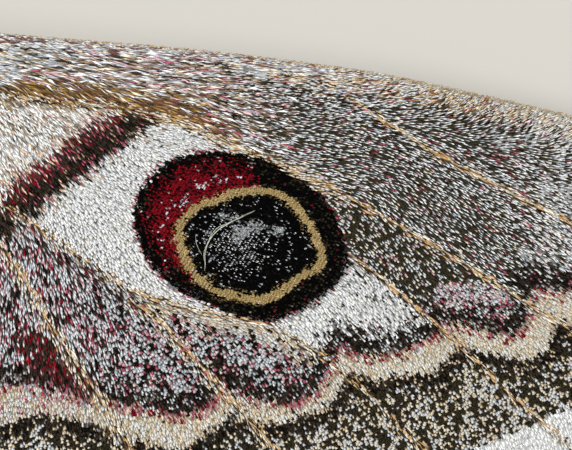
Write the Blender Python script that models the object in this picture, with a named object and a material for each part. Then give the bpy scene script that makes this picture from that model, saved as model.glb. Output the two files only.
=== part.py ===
"""Emperor moth: a life-size female at rest, with her wings spread out flat.

She faces +Y, her right side is +X and she stands on the plane z = 0. Blender works in metres.
The sizes below are in millimetres, as seen from above and measured from the middle of her back,
and mm() turns a point into metres.
"""

import math
import random

import bmesh
import bpy
from mathutils import Matrix, Vector

MM = 0.001
GAP = 0.3  # between two nodes that meet
SEED = 7

# The wings share one arched surface. It falls from the hinge towards the tips and the rear.
HINGE_X = 3.2
HINGE_Z = 7.6
SPAN = 36.5
SLOPE = 0.10
TIP_SAG = 1.0
CREST_Y = 1.6
CREST_SWEEP = 0.12
REAR_DROP = 2.0
REAR_REACH = 20.0
EDGE_DROP = 0.95  # the front edge rolls down by this much
EDGE_WIDTH = 2.3
EDGE_FADE = 6.0
EDGE_TIP = (32.5, 39.5)  # from here the roll fades out, down to this share at the tip
EDGE_TIP_SHARE = 0.25

WING_THICKNESS = 0.5
RIDGE_HEIGHT = 0.22
RIDGE_HALF_WIDTH = 0.45
RIDGE_FADE = 0.12
HIND_LEVEL = -1.05  # the hindwing lies this far under the forewing
STATIONS = 12

# Each line runs from the wing's root to its margin. A vein's number is the share of its way at which it
# starts to stand up.
FOREWING = {
    "front": [(2.2, 3.2), (5.7, 3.6), (10.2, 3.7), (14.7, 3.55), (20.8, 3.4), (26.3, 3.0),
              (32.3, 1.95), (37.8, 0.3), (39.6, -0.6), (40.4, -2.0)],
    "veins": [
        ("radius", 0.6, [(2.2, 2.75), (8.0, 2.35), (13.0, 2.1), (18.0, 2.2), (22.0, 2.25),
                         (24.7, 1.8), (27.7, -0.1), (32.0, -2.35), (38.7, -5.7)]),
        ("upper_cell", 0.0, [(2.2, 2.4), (8.0, 1.7), (15.0, 0.85), (19.2, 0.6), (21.8, -0.43),
                             (25.1, -1.81), (28.0, -3.43), (31.7, -5.7), (36.3, -8.3)]),
        ("median", 0.7, [(2.2, 2.1), (8.0, 1.3), (15.0, -0.5), (20.0, -2.1), (25.15, -3.68),
                         (26.6, -4.8), (28.15, -6.1), (30.3, -8.2), (33.0, -10.4)]),
        ("lower_cell", 0.0, [(2.2, 1.8), (8.0, 0.6), (12.0, -1.0), (16.2, -3.35), (18.35, -4.85),
                             (20.0, -5.6), (22.9, -6.1), (25.1, -7.45), (27.15, -9.45), (30.0, -11.9)]),
        ("first_cubital", 0.63, [(2.2, 1.55), (8.0, 0.1), (12.0, -1.6), (16.1, -3.75), (18.3, -5.15),
                                 (19.65, -6.0), (21.1, -7.6), (22.5, -9.1), (26.2, -13.6)]),
        ("second_cubital", 0.45, [(2.2, 1.3), (7.5, -0.2), (11.0, -1.6), (13.6, -2.95), (15.25, -4.05),
                                  (16.25, -5.7), (17.25, -7.2), (18.6, -9.25), (21.8, -15.2)]),
        ("anal", 0.0, [(2.2, 1.05), (6.5, -1.5), (11.0, -5.6), (15.0, -10.4), (19.0, -15.8)]),
    ],
    "rear": [(2.2, 0.8), (5.5, -1.9), (10.0, -6.8), (14.3, -12.0), (17.6, -15.3)],
    "level": 0.0,
}
HINDWING = {
    "front": [(2.2, 0.1), (8.0, 0.4), (14.0, -1.5), (20.0, -6.0), (23.4, -10.6)],
    "veins": [
        ("subcosta", 0.0, [(2.2, -0.2), (8.0, -1.1), (14.0, -4.4), (20.0, -9.8), (23.5, -13.4)]),
        ("radial", 0.0, [(2.2, -0.5), (7.6, -2.8), (12.5, -7.0), (18.0, -12.6), (22.6, -16.6)]),
        ("upper_median", 0.45, [(2.2, -0.75), (7.0, -3.9), (11.2, -9.0), (16.0, -15.2), (20.2, -20.2)]),
        ("middle_median", 0.45, [(2.2, -1.0), (6.4, -4.5), (9.9, -10.4), (13.6, -17.4), (16.9, -22.9)]),
        ("lower_median", 0.0, [(2.2, -1.25), (5.9, -5.0), (8.6, -11.6), (11.0, -18.6), (13.2, -24.6)]),
        ("cubital", 0.42, [(2.2, -1.5), (5.3, -5.2), (7.3, -12.0), (8.6, -19.0), (9.6, -24.5)]),
    ],
    "rear": [(2.2, -2.0), (4.1, -5.0), (4.9, -9.5), (5.2, -15.0), (6.5, -21.9)],
    "level": HIND_LEVEL,
}
# The slots that the wing roots sit in: (x, front y, rear y).
FORE_SLOT = [(1.9, 3.5, 0.45), (4.0, 3.7, -0.9), (8.0, 4.1, -5.2)]
HIND_SLOT = [(1.9, 0.45, -2.35), (4.0, 0.6, -5.6), (8.0, 0.7, -9.0)]
SLOT_ROWS = 6

# Thorax: an egg under a coat of long locks.
THORAX_CENTRE = (0.0, 1.6, 6.1)
THORAX_RADII = (3.0, 4.6, 2.9)
THORAX_FACETS = (20, 12)  # round it and along it
THORAX_REAR = -2.35
COAT_LENGTH = 2.6
COAT_WIDTH = 1.5
COAT_THICKNESS = 0.5
COAT_ROWS = 7
COAT_SPACING = 1.45
COAT_FIRST_Y = 4.7
COAT_LAST_Y = -2.0
COAT_SIZES = (0.88, 1.12)
COAT_STRAY = 0.18  # how far a lock may point to one side
COLLAR_Y = 5.15
COLLAR_LOCKS = 7
COLLAR_LENGTH = 2.1
COLLAR_WIDTH = 1.3
COLLAR_FLARE = 0.35  # how far its locks point outwards
COLLAR_BEND = 0.8  # and how far they bend to the body
CLEARANCE_OVER_ABDOMEN = 0.45  # for its first ring of locks, over and above the gap
COAT_LOWEST = math.radians(165)  # from straight up, round the body
LOCK_SINK = 0.6
# Rings of a lock: how far along it, how wide, and how far it stands off, as shares of its size.
LOCK_PROFILE = ((0.0, 0.75, 0.0), (0.35, 1.0, 0.15), (0.72, 0.7, 0.26))
LOCK_TIP_LIFT = 0.26
LOCK_RISE = 0.3  # the share of its length over which a lock comes out of the body
LOCK_SIZES = (0.9, 1.1)

REAR_DISC_LOW = (-3.2, THORAX_REAR - 1.5, 2.0)
REAR_DISC_HIGH = (3.2, THORAX_REAR, 7.6)

# Abdomen: rings along a middle line that falls towards the rear. Its belly hangs just over the floor.
ABDOMEN_FRONT = THORAX_REAR - GAP
ABDOMEN_RINGS = 7
ABDOMEN_LENGTH = 14.2
ABDOMEN_SIDES = 16
ABDOMEN_FRONT_Z = 5.3
ABDOMEN_REAR_Z = 3.5
ABDOMEN_RADIUS = 3.6
ABDOMEN_LEVEL_FROM = 0.75  # from this share of its length on, the middle line is level
# The arc of a sine wave that its radius follows, as shares of half a turn, and the power it is raised to.
ABDOMEN_SWELL = (0.22, 0.84, 0.7)
ABDOMEN_ROUND_FROM = 0.72  # from here on it rounds off, down to the least share of its radius
ABDOMEN_LEAST = 0.12
ABDOMEN_HEIGHT = 0.97  # its height as a share of its width
RING_BULGE = 0.14
RING_BULGE_LEAST = 0.2
RING_LOCKS = 7
RING_LOCKS_LEAST = 5
RING_LOCK_PLACE = 0.25  # how far along its ring a lock has its root
SLOPE_STEP = 0.04
RING_LOCK_LENGTH = 2.3
RING_LOCK_WIDTH = 1.7
RING_LOCK_THICKNESS = 0.42
RING_LOCK_LIFT = 0.5  # how far it stands off, as a share of a lock of the thorax
RING_LOCK_LOWEST = math.radians(125)

HEAD_CENTRE = (0.0, 7.0, 5.5)
HEAD_RADII = (1.75, 1.5, 1.6)
HEAD_FACETS = (16, 10)
EYE_CENTRE = (1.3, 7.3, 5.2)
EYE_RADIUS = 0.8
EYE_FACETS = (14, 8)
FACE_LOCKS = 11
FACE_LOCK_SPREAD = math.radians(100)  # to either side of the brow
FACE_LOCK_SIZE = (1.25, 0.8, 0.42)  # length, width and thickness
FACE_ROWS = (0.1, 0.75)  # how far ahead of the head's middle the locks have their roots, by turns
FACE_DROOP = 0.25

ANTENNA = [(0.8, 7.5, 6.4), (1.5, 8.6, 7.1), (3.2, 10.7, 7.5), (5.0, 11.9, 7.2), (6.9, 12.5, 6.6)]
ANTENNA_RADIUS = 0.27
ANTENNA_TIP_RADIUS = 0.12
ANTENNA_STATIONS = 13
ANTENNA_SIDES = 6
SOCKET_SIDES = 8
COMB_PAIRS = 8
COMB_STEP = 2  # stations of the feeler from one pair of teeth to the next
COMB_FIRST = 4
COMB_LEAN = 0.5
COMB_DROOP = 0.25
COMB_SINK = 0.05
COMB_SHRINK = 0.5  # how much shorter the teeth grow towards the tip
COMB_LENGTH = 0.95
COMB_ROOT = 0.5
COMB_TIP_RADIUS = 0.07

FEMUR_RADIUS = 0.5
TIBIA_RADIUS = 0.42
TARSUS_RADIUS = 0.3
TOE_RADIUS = 0.26
HEEL_SHARE = 0.35  # of the way from the ankle to the toe
TARSUS_Z = 0.24  # its middle, so that the sole is flat
LEG_SIDES = 8
LEGS = {
    "fore": [(1.0, 4.0, 4.3), (3.3, 6.6, 4.0), (4.3, 9.0, 1.2), (5.2, 12.2, TARSUS_Z)],
    "mid": [(1.4, 1.6, 4.2), (5.0, 2.2, 4.5), (7.6, 2.7, 1.2), (10.8, 3.0, TARSUS_Z)],
    "hind": [(1.3, -0.7, 4.2), (5.0, -2.3, 4.2), (7.5, -4.9, 1.1), (9.3, -8.0, TARSUS_Z)],
}

FUR_GREY = ("moth_fur_grey", (0.36, 0.31, 0.27), 0.9)
FUR_PALE = ("moth_fur_pale", (0.62, 0.56, 0.49), 0.9)
WING_GREY = ("moth_wing_scales", (0.55, 0.52, 0.50), 0.8)
EYE_BLACK = ("moth_eye", (0.02, 0.015, 0.012), 0.15)
ANTENNA_TAN = ("moth_antenna", (0.42, 0.30, 0.18), 0.7)
LEG_BROWN = ("moth_leg", (0.22, 0.13, 0.10), 0.8)


def mm(point):
    return Vector(point) * MM


def remove_everything():
    for obj in list(bpy.data.objects):
        bpy.data.objects.remove(obj)


def material(look):
    name, colour, roughness = look
    found = bpy.data.materials.get(name)
    if found:
        return found
    made = bpy.data.materials.new(name)
    made.use_nodes = True
    shader = made.node_tree.nodes["Principled BSDF"]
    shader.inputs["Base Color"].default_value = (*colour, 1.0)
    shader.inputs["Roughness"].default_value = roughness
    shader.inputs["Metallic"].default_value = 0.0
    return made


def new_object(name, shape, look):
    """An object with this bmesh, its normals made to point out."""
    bmesh.ops.recalc_face_normals(shape, faces=shape.faces[:])
    mesh = bpy.data.meshes.new(name)
    shape.to_mesh(mesh)
    shape.free()
    mesh.materials.append(material(look))
    obj = bpy.data.objects.new(name, mesh)
    bpy.context.scene.collection.objects.link(obj)
    return obj


def catmull(points, t):
    """The point at t, from 0 to 1, on a smooth curve through the points."""
    last = len(points) - 1
    place = min(max(t, 0.0), 1.0) * last
    i = min(int(place), last - 1)
    f = place - i
    before = points[max(i - 1, 0)]
    a = points[i]
    b = points[i + 1]
    after = points[min(i + 2, last)]
    return tuple(
        0.5 * (2 * q + (r - p) * f + (2 * p - 5 * q + 4 * r - s) * f * f + (3 * q - p - 3 * r + s) * f ** 3)
        for p, q, r, s in zip(before, a, b, after)
    )


def even_curve(points, count, fine=200):
    """count points, evenly far apart along the smooth curve through the points."""
    dense = [Vector(catmull(points, k / fine)) for k in range(fine + 1)]
    reach = [0.0]
    for a, b in zip(dense, dense[1:]):
        reach.append(reach[-1] + (b - a).length)
    found = []
    k = 0
    for i in range(count):
        want = reach[-1] * i / (count - 1)
        while k < fine - 1 and reach[k + 1] < want:
            k += 1
        share = (want - reach[k]) / max(reach[k + 1] - reach[k], 1e-9)
        found.append(dense[k].lerp(dense[k + 1], min(max(share, 0.0), 1.0)))
    return found


def front_edge_y(x):
    points = FOREWING["front"]
    for (x0, y0), (x1, y1) in zip(points, points[1:]):
        if x <= x1:
            return y0 + (y1 - y0) * (x - x0) / (x1 - x0)
    return points[-1][1]


def wing_z(x, y):
    """Height of the wings' common surface over a point, in millimetres."""
    out = x - HINGE_X
    z = HINGE_Z - SLOPE * out - TIP_SAG * (out / SPAN) ** 2
    behind = max(CREST_Y - CREST_SWEEP * out - y, 0.0)
    z -= REAR_DROP * (behind / REAR_REACH) ** 2
    rolled = max(y - front_edge_y(x) + EDGE_WIDTH, 0.0) / EDGE_WIDTH
    fade = min(max(out / EDGE_FADE, 0.0), 1.0)
    tip = min(max((x - EDGE_TIP[0]) / (EDGE_TIP[1] - EDGE_TIP[0]), 0.0), 1.0)
    fade *= 1.0 - (1.0 - EDGE_TIP_SHARE) * tip
    return z - EDGE_DROP * fade * rolled ** 2


def wing_normal(x, y, step=0.2):
    along = Vector((2 * step, 0.0, wing_z(x + step, y) - wing_z(x - step, y)))
    across = Vector((0.0, 2 * step, wing_z(x, y + step) - wing_z(x, y - step)))
    return along.cross(across).normalized()


def sheet(rows, level, thickness, rise=None):
    """A closed shell between two like faces, over rows of points seen from above."""
    shape = bmesh.new()
    top = []
    bottom = []
    for j, row in enumerate(rows):
        upper = []
        lower = []
        for i, (x, y) in enumerate(row):
            middle = Vector((x, y, wing_z(x, y) + level))
            normal = wing_normal(x, y)
            ridge = rise[j][i] if rise else 0.0
            upper.append(shape.verts.new(mm(middle + normal * (thickness / 2 + ridge))))
            lower.append(shape.verts.new(mm(middle - normal * (thickness / 2))))
        top.append(upper)
        bottom.append(lower)
    rim = []
    for j in range(len(rows) - 1):
        for i in range(len(rows[0]) - 1):
            for face, turn in ((top, 1), (bottom, -1)):
                a, b, c, d = face[j][i], face[j][i + 1], face[j + 1][i + 1], face[j + 1][i]
                shape.faces.new((a, b, c)[::turn])
                shape.faces.new((a, c, d)[::turn])
    last_row = len(rows) - 1
    last_point = len(rows[0]) - 1
    rim += [(0, i) for i in range(last_point)]
    rim += [(j, last_point) for j in range(last_row)]
    rim += [(last_row, i) for i in range(last_point, 0, -1)]
    rim += [(j, 0) for j in range(last_row, 0, -1)]
    for (j, i), (l, k) in zip(rim, rim[1:] + rim[:1]):
        shape.faces.new((top[j][i], bottom[j][i], bottom[l][k]))
        shape.faces.new((top[j][i], bottom[l][k], top[l][k]))
    return shape


def wing_rows(wing):
    """The wing's lines from root to margin, and how far each point of them stands up."""
    lines = [even_curve([(x, y, 0.0) for x, y in wing["front"]], STATIONS)]
    starts = [None]
    for _, start, points in wing["veins"]:
        lines.append(even_curve([(x, y, 0.0) for x, y in points], STATIONS))
        starts.append(start)
    lines.append(even_curve([(x, y, 0.0) for x, y in wing["rear"]], STATIONS))
    starts.append(None)
    margin = [tuple(line[-1]) for line in lines]
    last = len(lines) - 1
    rows = []
    rise = []
    middles = []
    for k in range(last):
        end = Vector(catmull(margin, (k + 0.5) / last))
        shift = end - (lines[k][-1] + lines[k + 1][-1]) / 2
        middle = []
        for i, (a, b) in enumerate(zip(lines[k], lines[k + 1])):
            share = i / (STATIONS - 1)
            middle.append((a + b) / 2 + shift * share ** 3)
        middles.append(middle)
    for k, line in enumerate(lines):
        if starts[k] is not None:
            rows.append(flank(line, middles[k - 1]))
            rise.append([0.0] * STATIONS)
        rows.append([(p.x, p.y) for p in line])
        rise.append(ridge_heights(starts[k]))
        if starts[k] is not None:
            rows.append(flank(line, middles[k]))
            rise.append([0.0] * STATIONS)
        if k < last:
            rows.append([(p.x, p.y) for p in middles[k]])
            rise.append([0.0] * STATIONS)
    return rows, rise


def flank(line, towards):
    """The line at the foot of a vein's ridge, on the side of another line."""
    found = []
    for a, b in zip(line, towards):
        share = min(RIDGE_HALF_WIDTH / max((b - a).length, 1e-6), 0.45)
        point = a.lerp(b, share)
        found.append((point.x, point.y))
    return found


def ridge_heights(start):
    heights = []
    for i in range(STATIONS):
        share = i / (STATIONS - 1)
        if start is None:
            heights.append(0.0)
            continue
        rise = min(max((share - start) / RIDGE_FADE, 0.0), 1.0)
        fall = min((1.0 - share) / RIDGE_FADE, 1.0)
        heights.append(RIDGE_HEIGHT * rise * fall)
    return heights


def add_wing(name, wing):
    rows, rise = wing_rows(wing)
    return new_object(name, sheet(rows, wing["level"], WING_THICKNESS, rise), WING_GREY)


def slot_cutter(name, slot, level):
    rows = []
    for k in range(SLOT_ROWS + 1):
        share = k / SLOT_ROWS
        rows.append([(x, front + (rear - front) * share) for x, front, rear in slot])
    return cutter(name, sheet(rows, level, WING_THICKNESS + 2 * GAP))


def cutter(name, shape):
    obj = new_object(name, shape, FUR_GREY)
    obj.hide_render = True
    obj.display_type = "WIRE"
    return obj


def tube(points, radii, sides):
    """A closed tube through the points, with one radius at each."""
    shape = bmesh.new()
    rings = []
    for i, point in enumerate(points):
        ahead = points[min(i + 1, len(points) - 1)] - points[max(i - 1, 0)]
        ahead.normalize()
        side = ahead.cross(Vector((0.0, 0.0, 1.0))).normalized()
        up = side.cross(ahead)
        ring = []
        for k in range(sides):
            angle = 2 * math.pi * (k + 0.5) / sides
            spoke = side * math.cos(angle) + up * math.sin(angle)
            ring.append(shape.verts.new(mm(point + spoke * radii[i])))
        rings.append(ring)
    for a, b in zip(rings, rings[1:]):
        for k in range(sides):
            shape.faces.new((a[k], a[(k + 1) % sides], b[(k + 1) % sides], b[k]))
    shape.faces.new(rings[0][::-1])
    shape.faces.new(rings[-1])
    return shape


def egg(centre, radii, across, along):
    """A closed egg whose poles lie on the body's long axis."""
    shape = bmesh.new()
    bmesh.ops.create_uvsphere(shape, u_segments=across, v_segments=along, radius=1.0)
    turn = Matrix.Rotation(math.radians(-90), 4, "X")
    size = Matrix.Diagonal((*radii, 1.0))
    place = Matrix.Translation(mm(centre)) @ Matrix.Scale(MM, 4) @ size @ turn
    bmesh.ops.transform(shape, matrix=place, verts=shape.verts[:])
    return shape


def block(low, high):
    """A box between two corners."""
    shape = bmesh.new()
    bmesh.ops.create_cube(shape, size=1.0)
    middle = (Vector(low) + Vector(high)) / 2
    size = Vector(high) - Vector(low)
    place = Matrix.Translation(mm(middle)) @ Matrix.Diagonal((*mm(size), 1.0))
    bmesh.ops.transform(shape, matrix=place, verts=shape.verts[:])
    return shape


def lock(root, normal, lie, length, width, thickness, lift=1.0):
    """A flat tapered lock of hair scales, its root sunk in and its tip bent along the lie."""
    shape = bmesh.new()
    side = lie.cross(normal).normalized()
    start = root - normal * LOCK_SINK
    rings = []
    for share, wide, off in LOCK_PROFILE:
        height = LOCK_SINK * min(share / LOCK_RISE, 1.0) + length * off * lift
        centre = start + lie * (length * share) + normal * height
        up = (normal - lie * 0.3).normalized()
        half_width = side * (width / 2 * wide)
        half_depth = up * (thickness / 2 * (1.0 if share < 0.5 else 0.8))
        corners = (half_width, half_depth, -half_width, -half_depth)
        rings.append([shape.verts.new(mm(centre + corner)) for corner in corners])
    tip = shape.verts.new(mm(start + lie * length + normal * (LOCK_SINK + length * LOCK_TIP_LIFT * lift)))
    for a, b in zip(rings, rings[1:]):
        for k in range(4):
            shape.faces.new((a[k], a[(k + 1) % 4], b[(k + 1) % 4], b[k]))
    for k in range(4):
        shape.faces.new((rings[-1][k], rings[-1][(k + 1) % 4], tip))
    shape.faces.new(rings[0][::-1])
    return shape


def apply_modifiers(obj):
    bpy.context.view_layer.update()
    graph = bpy.context.evaluated_depsgraph_get()
    mesh = bpy.data.meshes.new_from_object(obj.evaluated_get(graph))
    old = obj.data
    obj.modifiers.clear()
    obj.data = mesh
    bpy.data.meshes.remove(old)


def unite(obj, shapes):
    """Fuses closed shapes onto the object by one union. The exact solver loses whole bodies here."""
    group = bpy.data.collections.new(obj.name + "_pieces")
    bpy.context.scene.collection.children.link(group)
    pieces = []
    for k, shape in enumerate(shapes):
        piece = new_object(f"{obj.name}_piece_{k}", shape, FUR_GREY)
        bpy.context.scene.collection.objects.unlink(piece)
        group.objects.link(piece)
        pieces.append(piece)
    union = obj.modifiers.new("union", "BOOLEAN")
    union.operation = "UNION"
    union.operand_type = "COLLECTION"
    union.collection = group
    union.solver = "MANIFOLD"
    apply_modifiers(obj)
    for piece in pieces:
        bpy.data.objects.remove(piece)
    bpy.data.collections.remove(group)


def cut(obj, cutters):
    """Takes the cutters out of the object. The exact solver loses the body at a wing's slot."""
    for tool in cutters:
        hole = obj.modifiers.new("cut", "BOOLEAN")
        hole.operation = "DIFFERENCE"
        hole.object = tool
        hole.solver = "MANIFOLD"
    apply_modifiers(obj)


def keep_largest(obj):
    """Drops every closed surface of the object but the largest."""
    shape = bmesh.new()
    shape.from_mesh(obj.data)
    left = set(shape.faces)
    surfaces = []
    while left:
        surface = []
        reached = [left.pop()]
        while reached:
            face = reached.pop()
            surface.append(face)
            for edge in face.edges:
                for other in edge.link_faces:
                    if other in left:
                        left.discard(other)
                        reached.append(other)
        surfaces.append(surface)
    surfaces.sort(key=len)
    for surface in surfaces[:-1]:
        bmesh.ops.delete(shape, geom=surface, context="FACES")
    shape.to_mesh(obj.data)
    shape.free()


def mirrored(obj, name):
    """The same node on the moth's other side."""
    shape = bmesh.new()
    shape.from_mesh(obj.data)
    bmesh.ops.transform(shape, matrix=Matrix.Diagonal((-1.0, 1.0, 1.0, 1.0)), verts=shape.verts[:])
    bmesh.ops.reverse_faces(shape, faces=shape.faces[:])
    mesh = bpy.data.meshes.new(name)
    shape.to_mesh(mesh)
    shape.free()
    mesh.materials.append(obj.data.materials[0])
    made = bpy.data.objects.new(name, mesh)
    bpy.context.scene.collection.objects.link(made)
    return made


def flipped(point):
    return Vector((-point[0], point[1], point[2]))


def leg_points(path):
    """The leg's middle line, with a soft bend at each joint, and its radius at each point."""
    hip, knee, ankle, toe = (Vector(p) for p in path)
    heel = ankle.lerp(toe, HEEL_SHARE)
    heel.z = TARSUS_Z
    line = [hip, hip.lerp(knee, 0.5), hip.lerp(knee, 0.85), knee.lerp(ankle, 0.12), knee.lerp(ankle, 0.6),
            ankle, heel, heel.lerp(toe, 0.5), toe]
    radii = [FEMUR_RADIUS, FEMUR_RADIUS, FEMUR_RADIUS * 0.9, TIBIA_RADIUS * 0.9, TIBIA_RADIUS,
             TIBIA_RADIUS * 0.85, TARSUS_RADIUS, TARSUS_RADIUS, TOE_RADIUS]
    return line, radii


def stand_on_floor(shape):
    """Flattens whatever would reach under the floor."""
    for vert in shape.verts:
        vert.co.z = max(vert.co.z, 0.0)
    return shape


def add_legs():
    """Six legs, and the sockets in the thorax that their hips sit in."""
    sockets = []
    for name, path in LEGS.items():
        line, radii = leg_points(path)
        right = new_object(f"leg_{name}_right", stand_on_floor(tube(line, radii, LEG_SIDES)), LEG_BROWN)
        mirrored(right, f"leg_{name}_left")
        back = (line[0] - line[1]).normalized() * GAP
        for turn in (Vector, flipped):
            reach = [turn(line[0] + back), turn(line[2])]
            wide = [FEMUR_RADIUS + GAP] * 2
            sockets.append(cutter(f"socket_{name}", tube(reach, wide, LEG_SIDES)))
    return sockets


def add_antennae():
    """Two feelers with a short comb on each side, and the sockets in the head."""
    line = even_curve(ANTENNA, ANTENNA_STATIONS)
    last = len(line) - 1
    radii = [ANTENNA_RADIUS + (ANTENNA_TIP_RADIUS - ANTENNA_RADIUS) * k / last for k in range(last + 1)]
    right = new_object("antenna_right", tube(line, radii, ANTENNA_SIDES), ANTENNA_TAN)
    unite(right, comb_teeth())
    keep_largest(right)
    mirrored(right, "antenna_left")
    back = (line[0] - line[1]).normalized() * GAP
    sockets = []
    for turn in (Vector, flipped):
        reach = [turn(line[0] + back), turn(line[3])]
        wide = [ANTENNA_RADIUS + GAP] * 2
        sockets.append(cutter("socket_antenna", tube(reach, wide, SOCKET_SIDES)))
    return sockets


def comb_teeth():
    teeth = []
    line = even_curve(ANTENNA, COMB_FIRST + COMB_STEP * (COMB_PAIRS + 1))
    for k in range(COMB_PAIRS):
        i = COMB_FIRST + COMB_STEP * k
        ahead = (line[i + 1] - line[i]).normalized()
        level = ahead.cross(Vector((0.0, 0.0, 1.0))).normalized()
        shrink = 1.0 - COMB_SHRINK * k / COMB_PAIRS
        for side in (level, -level):
            out = (side + ahead * COMB_LEAN - Vector((0.0, 0.0, COMB_DROOP))).normalized()
            root = line[i] - out * COMB_SINK
            tip = line[i] + out * (COMB_LENGTH * shrink)
            teeth.append(tube([root, tip], [COMB_ROOT / 2 * shrink ** 0.5, COMB_TIP_RADIUS], 4))
    return teeth


def on_egg(centre, radii, angle, y):
    """The point of an egg at this y and this angle round the body from straight up, and its normal."""
    share = (y - centre[1]) / radii[1]
    ring = math.sqrt(max(1.0 - share * share, 0.0))
    x = radii[0] * ring * math.sin(angle)
    z = radii[2] * ring * math.cos(angle)
    normal = Vector((x / radii[0] ** 2, (y - centre[1]) / radii[1] ** 2, z / radii[2] ** 2)).normalized()
    return Vector((x, y, centre[2] + z)), normal


def coat_locks(draw):
    """Rows of locks over the thorax, alike on both sides, that lie back and overlap."""
    shapes = []
    for row in range(COAT_ROWS):
        y = COAT_FIRST_Y + (COAT_LAST_Y - COAT_FIRST_Y) * row / (COAT_ROWS - 1)
        share = (y - THORAX_CENTRE[1]) / THORAX_RADII[1]
        girth = math.pi * THORAX_RADII[0] * math.sqrt(1.0 - share * share)
        steps = max(int(girth / COAT_SPACING), 2)
        shift = 0.5 if row % 2 else 0.0
        for k in range(steps + 1):
            angle = math.pi * (k + shift) / steps
            if angle > COAT_LOWEST:
                continue
            size = draw.uniform(*COAT_SIZES)
            stray = draw.uniform(-COAT_STRAY, COAT_STRAY)
            root, normal = on_egg(THORAX_CENTRE, THORAX_RADII, angle, y)
            back = Vector((stray, -1.0, 0.0))
            lie = (back - normal * back.dot(normal)).normalized()
            if k + shift == 0:
                lie.x = 0.0
            for turn in ((Vector,) if k + shift == 0 else (Vector, flipped)):
                shapes.append(lock(turn(root), turn(normal), turn(lie.normalized()), COAT_LENGTH * size,
                                   COAT_WIDTH * size, COAT_THICKNESS))
    return shapes


def collar_locks(draw):
    """A ruff that leans forward, close round the back of the head."""
    shapes = []
    for k in range(COLLAR_LOCKS):
        angle = COAT_LOWEST * (k + 0.5) / COLLAR_LOCKS
        root, normal = on_egg(THORAX_CENTRE, THORAX_RADII, angle, COLLAR_Y)
        ahead = Vector((0.0, 1.0, 0.0)) + Vector((normal.x, 0.0, normal.z)) * COLLAR_FLARE
        lie = (ahead - normal * ahead.dot(normal) * COLLAR_BEND).normalized()
        up = (normal - lie * normal.dot(lie)).normalized()
        size = draw.uniform(*LOCK_SIZES)
        for turn in (Vector, flipped):
            shapes.append(lock(turn(root), turn(up), turn(lie), COLLAR_LENGTH * size, COLLAR_WIDTH * size,
                               COAT_THICKNESS))
    return shapes


def add_thorax(cutters, draw):
    thorax = new_object("thorax", egg(THORAX_CENTRE, THORAX_RADII, *THORAX_FACETS), FUR_PALE)
    unite(thorax, coat_locks(draw) + collar_locks(draw))
    behind = cutter("rear_cut", abdomen_shape(GAP + CLEARANCE_OVER_ABDOMEN, THORAX_REAR))
    rear = cutter("rear_disc", block(REAR_DISC_LOW, REAR_DISC_HIGH))
    grown = tuple(radius + GAP for radius in HEAD_RADII)
    front = cutter("head_socket", egg(HEAD_CENTRE, grown, *THORAX_FACETS))
    eyes = [cutter(f"eye_room_{k}", egg(turn(EYE_CENTRE), (EYE_RADIUS + GAP,) * 3, *EYE_FACETS))
            for k, turn in enumerate((Vector, flipped))]
    cut(thorax, [front, *eyes, behind, rear, *cutters])
    keep_largest(thorax)


def abdomen_ring(share):
    """The abdomen's middle height and radius at a share of its length."""
    z = ABDOMEN_FRONT_Z + (ABDOMEN_REAR_Z - ABDOMEN_FRONT_Z) * min(share / ABDOMEN_LEVEL_FROM, 1.0)
    first, last, power = ABDOMEN_SWELL
    swell = math.sin(math.pi * min(first + (last - first) * share, 1.0)) ** power
    rounded = max(share - ABDOMEN_ROUND_FROM, 0.0) / (1.0 - ABDOMEN_ROUND_FROM)
    end = math.sqrt(max(1.0 - rounded ** 2, 0.0))
    radius = ABDOMEN_RADIUS * swell * max(end, ABDOMEN_LEAST)
    bulge = RING_BULGE * math.sin(math.pi * (share * ABDOMEN_RINGS % 1.0))
    return z, radius + bulge * max(end, RING_BULGE_LEAST)


def abdomen_shape(grow, front):
    """The abdomen's closed body, grown by this much, from this y backwards."""
    shape = bmesh.new()
    rings = []
    steps = 2 * ABDOMEN_RINGS
    for k in range(steps + 1):
        share = k / steps
        z, radius = abdomen_ring(share)
        y = front if k == 0 else ABDOMEN_FRONT - ABDOMEN_LENGTH * share
        radius = radius + grow
        ring = []
        for j in range(ABDOMEN_SIDES):
            angle = 2 * math.pi * (j + 0.5) / ABDOMEN_SIDES
            point = (radius * math.sin(angle), y, z + radius * ABDOMEN_HEIGHT * math.cos(angle))
            ring.append(shape.verts.new(mm(point)))
        rings.append(ring)
    for a, b in zip(rings, rings[1:]):
        for j in range(ABDOMEN_SIDES):
            shape.faces.new((a[j], a[(j + 1) % ABDOMEN_SIDES], b[(j + 1) % ABDOMEN_SIDES], b[j]))
    shape.faces.new(rings[0][::-1])
    shape.faces.new(rings[-1])
    return shape


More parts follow.
